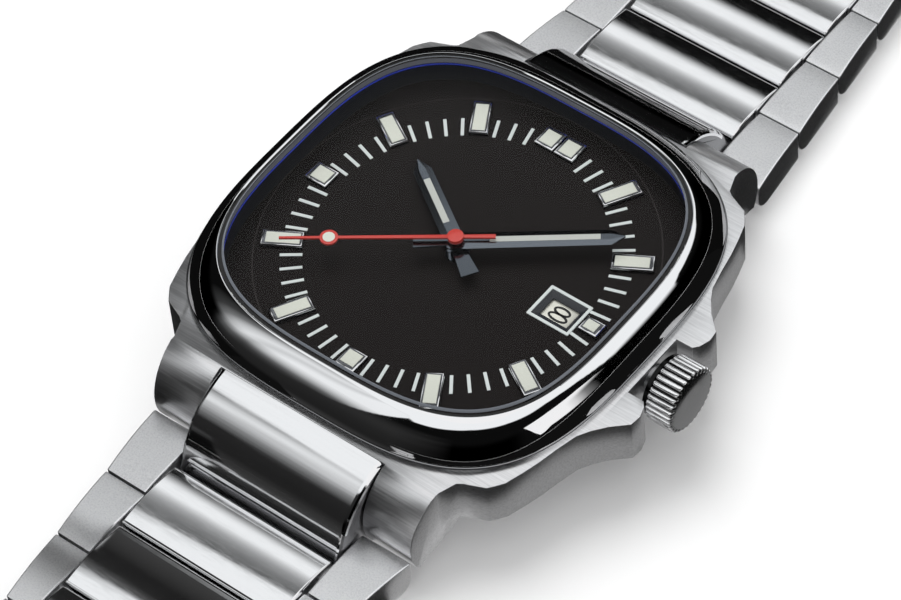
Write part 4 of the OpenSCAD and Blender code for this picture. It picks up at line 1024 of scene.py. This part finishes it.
def middle_outline(pitch, pin, height):
    """Side outline of a middle link, from its hinge: a barrel top with round shoulders."""
    start, end = pin + 0.2, pitch + pin
    arc = top_arc(start + 0.35, end - 0.35, height, 0.33, 16)
    far = [(pitch, 0.0)] + arc_points(pitch, pin, pin, -70, 0, 7) + [(end, pin + 0.6)]
    far_shoulder = rounded([(end, pin + 0.6), (end, arc[0][1] - 0.02), arc[0]], 1, 0.5)
    near_shoulder = rounded([arc[-1], (start, arc[-1][1] - 0.02), (start, pin)], 1, 0.35)
    return [(start, 0.0)] + far + far_shoulder[1:] + arc[1:-1] + near_shoulder + [(start, pin - 0.5)]


def outer_outline(pitch, pin, height):
    """Side outline of an outer link, from its hinge: round towards the case, square at its far end."""
    end = pitch - pin - 0.12
    arc = top_arc(-pin + 0.25, end, height, 0.22, 14)
    near = [(-pin, pin + 0.7)] + arc_points(0, pin, pin, 180, 270, 9)
    shoulder = rounded([arc[-1], (-pin, arc[-1][1] - 0.02), (-pin, pin + 0.7)], 1, 0.4)
    return near[1:] + [(end, 0.0), (end, pin)] + arc[:-1] + shoulder[:-1] + [near[0]]


class WATCH_OT_bracelet(bpy.types.Operator):
    """Bracelet rows: brushed outer links, a polished middle link and the hinge pins"""

    bl_idname = "watch.bracelet"
    bl_label = "Bracelet"

    def execute(self, context):
        for side, count in (("twelve", 6), ("six", 5)):
            for row in range(1, count + 1):
                self.row(context.scene.watch_bracelet, side, row)
        return {"FINISHED"}

    def row(self, bracelet, side, row):
        """All pieces of one row."""
        mirrored = side == "six"
        body, node = f"{side}_row_{row}", f"row_{side}_{row}"
        pitch, pin = bracelet.pitch / MM, bracelet.pin_height / MM
        hinge = bracelet.first_hinge / MM + pitch * (row - 1)
        middle, step = bracelet.middle_half / MM, bracelet.middle_taper / MM
        half = middle - step * (row - 1)
        inner = (END_HIGH.x if row == 1 else middle - step * (row - 2)) + 0.1
        front = bracelet.outer_half / MM - bracelet.taper / MM * (row - 1)
        back = front - bracelet.taper / MM
        mesh = bmesh.new()
        outline = [(hinge + y, z) for y, z in middle_outline(pitch, pin, bracelet.middle_height / MM)]
        link_bar(mesh, outline, lambda y: -half, lambda y: half, 0.14, mirrored)
        finish_piece(f"{side}_row_{row}_middle", mesh, body, "link_polish", [node], 26)
        mesh = bmesh.new()
        outline = [(hinge + y, z) for y, z in outer_outline(pitch, pin, bracelet.outer_height / MM)]

        def outside(y):
            return front + (back - front) * (y - hinge + pin) / pitch

        link_bar(mesh, outline, lambda y: inner, outside, 0.12, mirrored)
        link_bar(mesh, outline, lambda y: -outside(y), lambda y: -inner, 0.12, mirrored)
        piece = finish_piece(f"{side}_row_{row}_outer", mesh, body, "link_brushed", [node], 40)
        inward = 1 if mirrored else -1

        # Painted shade: the noses of the outer links that face the case get the dark steel, for the dark gap
        # in front of them
        def nose(spot, normal):
            return normal.y * inward > 0.75 and abs(spot.y) < hinge

        second_finish(piece, "pin_steel_and_painted_shade", nose)
        mesh = bmesh.new()
        sides = 24
        for y, reach in ((hinge, front - 0.7), (hinge + pitch / 2, inner + 1.1)):
            rings = []
            for x, radius in ((-reach, 0.4), (-reach + 0.1, 0.5), (reach - 0.1, 0.5), (reach, 0.4)):
                ring = arc_points(y, pin, radius, 0, 360 - 360 / sides, sides - 1)
                rings.append([(x, (-py if mirrored else py), pz) for py, pz in ring])
            loft(mesh, rings, capped=True)
        finish_piece(f"{side}_row_{row}_pins", mesh, body, "pin_steel_and_painted_shade", [node])


class WATCH_OT_clasp(bpy.types.Operator):
    """Folding clasp: cover, two blades and two buttons"""

    bl_idname = "watch.clasp"
    bl_label = "Clasp"

    def execute(self, context):
        dress(["clasp_cover"], "link_brushed", 0.15)
        dress(["clasp_blade_long", "clasp_blade_short"], "case_brushed", 0.06)
        dress(["clasp_button_left", "clasp_button_right"], "link_polish", 0.12)
        return {"FINISHED"}


MOVEMENT_FINISHES = {
    "brass": ("mainplate", "barrel", "center_wheel", "third_wheel", "fourth_wheel", "balance_wheel",
              "minute_wheel"),
    "hands": ("hour_wheel", "cannon_pinion"),
    "bridge_steel": ("train_bridge", "balance_cock", "rotor"),
    "inner_steel": ("escape_wheel", "pallet_fork", "mainspring"),
    "blued_steel": ("movement_screws", "hairspring"),
}


class WATCH_OT_movement(bpy.types.Operator):
    """Plated and steel pieces of the movement"""

    bl_idname = "watch.movement"
    bl_label = "Movement"

    def execute(self, context):
        for look, nodes in MOVEMENT_FINISHES.items():
            dress(nodes, look)
        return {"FINISHED"}


# Stage

WHITE = (1.0, 1.0, 1.0)
# In metres
FLOOR_RADIUS = 6.0
LAMP_PLACE = (-0.35, 0.3, 0.9)
LAMP_SIZE = 0.7
CARD_DISTANCE = 3.0
WINDOW_DISTANCE = 2.85
SIDE_WINDOW_DISTANCE = 2.75
# The floor lies a hair under the watch, so that its underside still mirrors a card in between
FLOOR_LEVEL = -0.00002
CAMERA_RIGHT = (0.78650, 0.61447, -0.06201)
CAMERA_DOWN = (0.44812, -0.63689, -0.62734)
CAMERA_AHEAD = (-0.42497, 0.46562, -0.77627)

# Height in degrees to which the dark wall reaches, by compass angle
WALL_TOP = [(0, 52), (12, 51), (20, 47), (26, 40), (28.5, 30), (31, 15), (33, 3), (36, 3), (38, 16), (41, 25),
            (46, 29.5), (55, 31), (75, 31), (95, 34), (110, 38), (120, 40), (127, 41.5), (140, 44), (152, 49),
            (165, 53), (180, 56), (197, 58), (246, 58), (250, 55), (256, 52), (268, 54), (283, 57), (300, 59),
            (320, 58), (340, 56), (360, 52)]
# Width in degrees of the wall's soft upper edge
WALL_SOFT = [(0, 1), (90, 1), (105, 4.5), (120, 4.6), (140, 4.5), (160, 3), (180, 1), (360, 1)]
WALL_LEVEL = 0.004
# Lower and upper edge of the grey strip overhead, and its brightness from one to the other
STRIP_LOW = [(104, 44), (118, 46.5), (131, 48), (145, 50), (159, 52), (178, 56)]
STRIP_HIGH = [(104, 58), (118, 59.4), (131, 60), (145, 60.3), (154.5, 60.8), (166, 61.2), (178, 60.5)]
STRIP_TONE = [(0.0, 1.0), (0.16, 0.67), (0.29, 0.46), (0.41, 0.35), (0.58, 0.25), (0.7, 0.2), (0.82, 0.17),
              (0.95, 0.1), (0.99, 0.1), (1.03, 1.0)]
# The left window brightens with height, then with compass angle, up to its leaning edge
WINDOW_RISE = [(-1, 0.006), (3, 0.012), (10, 0.04), (17, 0.16), (22, 0.4), (27, 0.78), (34, 0.95), (70, 1.0)]
WINDOW_START = [(192, 0.0), (205, 0.05), (212, 0.2), (218, 0.62), (224, 0.9), (229, 0.72), (234, 1.0),
                (260, 1.0)]
WINDOW_EDGE = [(-1, 239), (5, 240), (48, 250), (60, 252)]
# Corners of the right window, by compass angle and height
RIGHT_WINDOW = [(347, 33), (355, 33.5), (365, 33), (373, 31), (380, 28), (385, 23), (389, 13), (392, 5),
                (390, -0.5), (380, 3), (370, 6), (362, 8), (358, 5), (355, 5), (352, 14)]
# Low windows that only links and brushed pieces mirror, so that they don't look black from the sides: first
# and last compass angle, first and last height, brightness
SIDE_WINDOWS = [(12, 104, -1, 26, 0.62), (104, 118, -1, 14, 0.5), (116, 152, -1, 27, 0.5),
                (150, 218, -1, 26, 0.5), (252, 347, -1, 34, 0.62)]
SIDE_PIECES = ("row_", "clasp_", "case_", "crown_fluted")
# The flag's rows, with height, brightness and alpha, and its columns, with place, lean, lower and upper
# cover. Lengths are in millimetres. Low down it is only as wide as the middle links and leans as their
# reflections do, so that the outer links don't mirror its lower edge.
FLAG_Y = -33.5
FLAG_ROWS = [(3.7, 0.05, 1.0), (7.6, 0.016, 1.0), (9.6, 0.016, 1.0), (13.5, 0.02, 1.0), (18.0, 0.035, 0.75),
             (22.0, 0.05, 0.3), (26.0, 0.05, 0.0)]
FLAG_COLUMNS = [(-30.0, 0.0, 0.0, 0.0), (-20.0, 0.0, 0.0, 1.0), (-8.2, -0.54, 0.0, 1.0),
                (-7.6, -0.54, 1.0, 1.0), (7.6, -0.54, 1.0, 1.0), (8.2, -0.54, 0.0, 1.0),
                (19.0, 0.0, 0.0, 0.0)]
FLAG_LOW, FLAG_LEAN_FROM, FLAG_LEAN_TO = 8.0, 3.3, 9.6
# Cards on the floor: first and last compass angle, nearest and farthest reach in metres, brightness
FLOOR_CARDS = {"floor_card_far": (50, 236, 0.0, 1.2, 0.004), "floor_card_near": (236, 410, 0.0, 0.0285, 0.3),
               "floor_card_front": (236, 410, 0.0285, 1.2, 0.006)}
UNDER_LEVEL = 0.55


def between(stops, place):
    """Value at a place between listed stops."""
    if place <= stops[0][0]:
        return stops[0][1]
    for (a0, v0), (a1, v1) in zip(stops, stops[1:]):
        if place <= a1:
            return v0 + (v1 - v0) * (place - a0) / (a1 - a0)
    return stops[-1][1]


def ease(low, high, value):
    """Smooth step from 0 at low to 1 at high."""
    t = max(0.0, min(1.0, (value - low) / (high - low)))
    return t * t * (3 - 2 * t)


def dome_level(azimuth, elevation):
    """Brightness of the studio round the watch, by compass angle and height in degrees."""
    top, soft = between(WALL_TOP, azimuth), between(WALL_SOFT, azimuth)
    level = WALL_LEVEL + (1 - WALL_LEVEL) * ease(top - soft, top + soft * 0.6, elevation)
    first, last = STRIP_LOW[0][0], STRIP_LOW[-1][0]
    if first <= azimuth <= last:
        low, high = between(STRIP_LOW, azimuth), between(STRIP_HIGH, azimuth)
        grey = between(STRIP_TONE, (elevation - low) / (high - low))
        cover = ease(first, first + 8, azimuth)
        level = level * (1 - cover) + min(level, grey) * cover
    if WINDOW_START[0][0] < azimuth and elevation < top:
        edge = between(WINDOW_EDGE, elevation)
        glow = between(WINDOW_RISE, elevation) * between(WINDOW_START, azimuth)
        level = max(level, glow * (1 - ease(edge - 0.5, edge + 0.5, azimuth)))
    return level


def sky_point(azimuth, elevation, distance):
    """A point round the watch, by compass angle from +X and height, in degrees."""
    a, e = math.radians(azimuth), math.radians(elevation)
    return Vector((math.cos(e) * math.cos(a), math.cos(e) * math.sin(a), math.sin(e))) * distance


def glow_material(name, tint, one_sided):
    """A surface for the studio's cards, whose points say how bright it is, and with their alpha how solid. A
    one-sided card is clear from its back."""
    material = bpy.data.materials.new(name)
    material.use_nodes = True
    tree = material.node_tree
    tree.nodes.remove(tree.nodes["Principled BSDF"])
    level = add_node(tree, "ShaderNodeAttribute", attribute_name="level")
    seen = level.outputs["Alpha"]
    if one_sided:
        seen = maths(tree, "SUBTRACT", seen, add_node(tree, "ShaderNodeNewGeometry").outputs["Backfacing"])
    colour_out = vectors(tree, "MULTIPLY", level.outputs["Color"], tint)
    glow = add_node(tree, "ShaderNodeEmission", [("Color", colour_out)])
    show(tree, "Material Output", seen, add_node(tree, "ShaderNodeBsdfTransparent"), glow)
    return material


def show(tree, output, factor, first, second):
    """Mix two shaders and send them to the output."""
    mix = add_node(tree, "ShaderNodeMixShader", [(0, factor), (1, first.outputs[0]), (2, second.outputs[0])])
    tree.links.new(mix.outputs[0], tree.nodes[output].inputs["Surface"])


def card(name, points, faces, levels, tint=WHITE, one_sided=False):
    """A studio card that only reflections show. levels is a brightness, or one and an alpha for each point."""
    data = bpy.data.meshes.new(name)
    data.from_pydata([tuple(p) for p in points], [], faces)
    data.materials.append(glow_material(name, tint, one_sided))
    layer = data.attributes.new("level", "FLOAT_COLOR", "POINT")
    for i in range(len(points)):
        level, alpha = levels[i] if isinstance(levels, list) else (levels, 1.0)
        layer.data[i].color = (level, level, level, alpha)
    thing = bpy.data.objects.new(name, data)
    bpy.context.scene.collection.objects.link(thing)
    for ray in ("camera", "diffuse", "transmission", "shadow", "volume_scatter"):
        setattr(thing, "visible_" + ray, False)
    return thing


def grid_card(name, columns, rows, place, tint=WHITE):
    """A card from a grid. place gives a point, and its brightness and alpha, at a column and a row."""
    spots = [place(c, r) for c in range(columns + 1) for r in range(rows + 1)]
    corners = [c * (rows + 1) + r for c in range(columns) for r in range(rows)]
    faces = [(a, a + rows + 1, a + rows + 2, a + 1) for a in corners]
    return card(name, [point for point, level in spots], faces, [level for point, level in spots], tint)


def floor_card(name, start, stop, near, far, level):
    """A card that lies on the floor: a piece of a ring between two compass angles."""
    points, steps = [], 40
    for i in range(steps + 1):
        angle = math.radians(start + (stop - start) * i / steps)
        for reach in (near, far):
            points.append((reach * math.cos(angle), reach * math.sin(angle), FLOOR_LEVEL / 2))
    faces = [(2 * i, 2 * i + 1, 2 * i + 3, 2 * i + 2) for i in range(steps)]
    card(name, points, faces, level, one_sided=True)


class WATCH_OT_stage(bpy.types.Operator):
    """White floor, soft light, dark and bright cards for the reflections, and the camera"""

    bl_idname = "watch.stage"
    bl_label = "Stage"

    def execute(self, context):
        stage = context.scene.watch_stage
        self.floor(stage)
        self.dome()
        self.windows()
        self.flag()
        self.floor_cards()
        self.sky(context, stage)
        self.lamp(stage)
        self.camera(context, stage)
        return {"FINISHED"}

    def floor(self, stage):
        """A wide round floor, clear from below so that the case back can be seen."""
        mesh = bmesh.new()
        bmesh.ops.create_circle(mesh, cap_ends=True, segments=96, radius=FLOOR_RADIUS)
        data = bpy.data.meshes.new("floor")
        mesh.to_mesh(data)
        mesh.free()
        material, tree, shader = new_material("floor paint", Base_Color=(*stage.floor, 1.0), Roughness=0.9,
                                              Specular_IOR_Level=0.0)
        below = add_node(tree, "ShaderNodeNewGeometry").outputs["Backfacing"]
        show(tree, "Material Output", below, shader, add_node(tree, "ShaderNodeBsdfTransparent"))
        data.materials.append(material)
        floor = bpy.data.objects.new("floor", data)
        floor.location.z = FLOOR_LEVEL
        bpy.context.scene.collection.objects.link(floor)

    def dome(self):
        """Dome with a dark wall, a window on the left and a grey strip overhead."""
        columns, rows, low, high = 480, 96, -1.0, 71.0

        def place(c, r):
            azimuth, elevation = 360 * c / columns, low + (high - low) * r / rows
            return sky_point(azimuth, elevation, CARD_DISTANCE), (dome_level(azimuth, elevation), 1.0)

        grid_card("dome", columns, rows, place, (0.97, 0.99, 1.0))

    def windows(self):
        """The window on the right, and the low windows for the links and the brushed pieces."""
        window = [sky_point(a, e, WINDOW_DISTANCE) for a, e in RIGHT_WINDOW]
        middle = sum(window, Vector()).normalized() * WINDOW_DISTANCE
        faces = [(0, i, i % len(window) + 1) for i in range(1, len(window) + 1)]
        card("right_window", [middle] + window, faces, 1.0)
        group = bpy.data.collections.new("mirror_the_side_windows")
        for piece in bpy.context.scene.objects:
            if piece.type == "MESH" and any(part in piece.name for part in SIDE_PIECES):
                group.objects.link(piece)
        for i, window in enumerate(SIDE_WINDOWS):
            self.side_window(f"side_window_{i + 1}", *window).light_linking.receiver_collection = group

    def side_window(self, name, start, stop, low, high, level):
        """A low window with soft sides and a soft upper edge."""
        columns, rows, soft_side, soft_top = 24, 10, 0.12, 0.3

        def place(c, r):
            across, up = c / columns, r / rows
            point = sky_point(start + (stop - start) * across, low + (high - low) * up, SIDE_WINDOW_DISTANCE)
            sides = ease(0.0, soft_side, across) * ease(0.0, soft_side, 1 - across)
            return point, (level, sides * ease(0.0, soft_top, 1 - up))

        return grid_card(name, columns, rows, place)

    def flag(self):
        """The dark flag that the end link's lower half mirrors."""

        def place(row, column):
            z, level, alpha = FLAG_ROWS[row]
            x, lean, low_cover, high_cover = FLAG_COLUMNS[column]
            point = Vector((x + lean * (min(z, FLAG_LEAN_TO) - FLAG_LEAN_FROM), FLAG_Y, z)) * MM
            return point, (level, alpha * (low_cover if z < FLAG_LOW else high_cover))

        grid_card("dark_flag", len(FLAG_ROWS) - 1, len(FLAG_COLUMNS) - 1, place)

    def floor_cards(self):
        """What the lower sides and the underside of the watch mirror."""
        far, near = box_mm("row_twelve_6")[1].y - 0.5, box_mm("clasp_cover")[0].y + 0.5
        under = [(8.5, near), (13.0, -23.0), (17.0, -15.0), (17.0, 15.0), (13.0, 23.0), (8.0, far)]
        under += [(-x, y) for x, y in reversed(under)]
        under = [(x * MM, y * MM, FLOOR_LEVEL / 4) for x, y in under]
        card("floor_card_under", under, [tuple(range(len(under)))], UNDER_LEVEL, one_sided=True)
        for name, values in FLOOR_CARDS.items():
            floor_card(name, *values)

    def sky(self, context, stage):
        """White for what the camera, metal and glass see; an even soft light for everything else."""
        world = bpy.data.worlds.new("studio")
        context.scene.world = world
        world.use_nodes = True
        tree = world.node_tree
        seen = tree.nodes["Background"]
        seen.inputs["Color"].default_value = (*WHITE, 1.0)
        seen.inputs["Strength"].default_value = 1.0
        light = add_node(tree, "ShaderNodeBackground", [("Color", (*WHITE, 1.0)), ("Strength", stage.sky)])
        path = add_node(tree, "ShaderNodeLightPath").outputs
        mirrored = maths(tree, "MAXIMUM", path["Is Glossy Ray"], path["Is Transmission Ray"])
        show(tree, "World Output", maths(tree, "MAXIMUM", path["Is Camera Ray"], mirrored), light, seen)

    def lamp(self, stage):
        """One large soft lamp, high on the far left."""
        data = bpy.data.lights.new("soft_lamp", "AREA")
        data.shape = "DISK"
        data.size = LAMP_SIZE
        data.energy = stage.lamp
        lamp = bpy.data.objects.new("soft_lamp", data)
        bpy.context.scene.collection.objects.link(lamp)
        lamp.location = LAMP_PLACE
        lamp.rotation_euler = (-lamp.location).to_track_quat("-Z", "Y").to_euler()
        lamp.visible_glossy = False

    def camera(self, context, stage):
        """The photograph's view."""
        data = bpy.data.cameras.new("camera")
        data.sensor_fit = "HORIZONTAL"
        data.sensor_width = 36.0
        data.lens = stage.lens
        data.clip_start = 0.01
        data.clip_end = 50.0
        camera = bpy.data.objects.new("camera", data)
        bpy.context.scene.collection.objects.link(camera)
        axes = Matrix((CAMERA_RIGHT, -Vector(CAMERA_DOWN), -Vector(CAMERA_AHEAD))).transposed()
        camera.matrix_world = Matrix.Translation(Vector(stage.camera)) @ axes.to_4x4()
        context.scene.camera = camera
        context.scene.view_settings.view_transform = "Standard"


class WATCH_PT_panel(bpy.types.Panel):
    """The watch's pieces and settings"""

    bl_idname = "WATCH_PT_panel"
    bl_label = "Wristwatch"
    bl_space_type = "VIEW_3D"
    bl_region_type = "UI"
    bl_category = "Watch"

    def draw(self, context):
        scene = context.scene
        for group in (scene.watch_case, scene.watch_dial, scene.watch_bracelet, scene.watch_stage):
            box = self.layout.box()
            for name in group.__annotations__:
                box.prop(group, name)
        for operator in OPERATORS:
            self.layout.operator(operator.bl_idname)


SETTINGS = {"watch_case": WatchCaseSettings, "watch_dial": WatchDialSettings,
            "watch_bracelet": WatchBraceletSettings, "watch_stage": WatchStageSettings}
OPERATORS = (WATCH_OT_case, WATCH_OT_bezel, WATCH_OT_crystal, WATCH_OT_crown, WATCH_OT_dial, WATCH_OT_date,
             WATCH_OT_hands, WATCH_OT_end_links, WATCH_OT_bracelet, WATCH_OT_clasp, WATCH_OT_movement,
             WATCH_OT_stage)


def register():
    """Register the settings, the operators and the panel."""
    for name, group in SETTINGS.items():
        bpy.utils.register_class(group)
        setattr(bpy.types.Scene, name, bpy.props.PointerProperty(type=group))
    for operator in OPERATORS:
        bpy.utils.register_class(operator)
    bpy.utils.register_class(WATCH_PT_panel)


def unregister():
    """Undo register."""
    bpy.utils.unregister_class(WATCH_PT_panel)
    for operator in reversed(OPERATORS):
        bpy.utils.unregister_class(operator)
    for name, group in SETTINGS.items():
        delattr(bpy.types.Scene, name)
        bpy.utils.unregister_class(group)


def main():
    """Build every piece."""
    register()
    for operator in OPERATORS:
        group, name = operator.bl_idname.split(".")
        getattr(getattr(bpy.ops, group), name)()


if __name__ == "__main__":
    main()
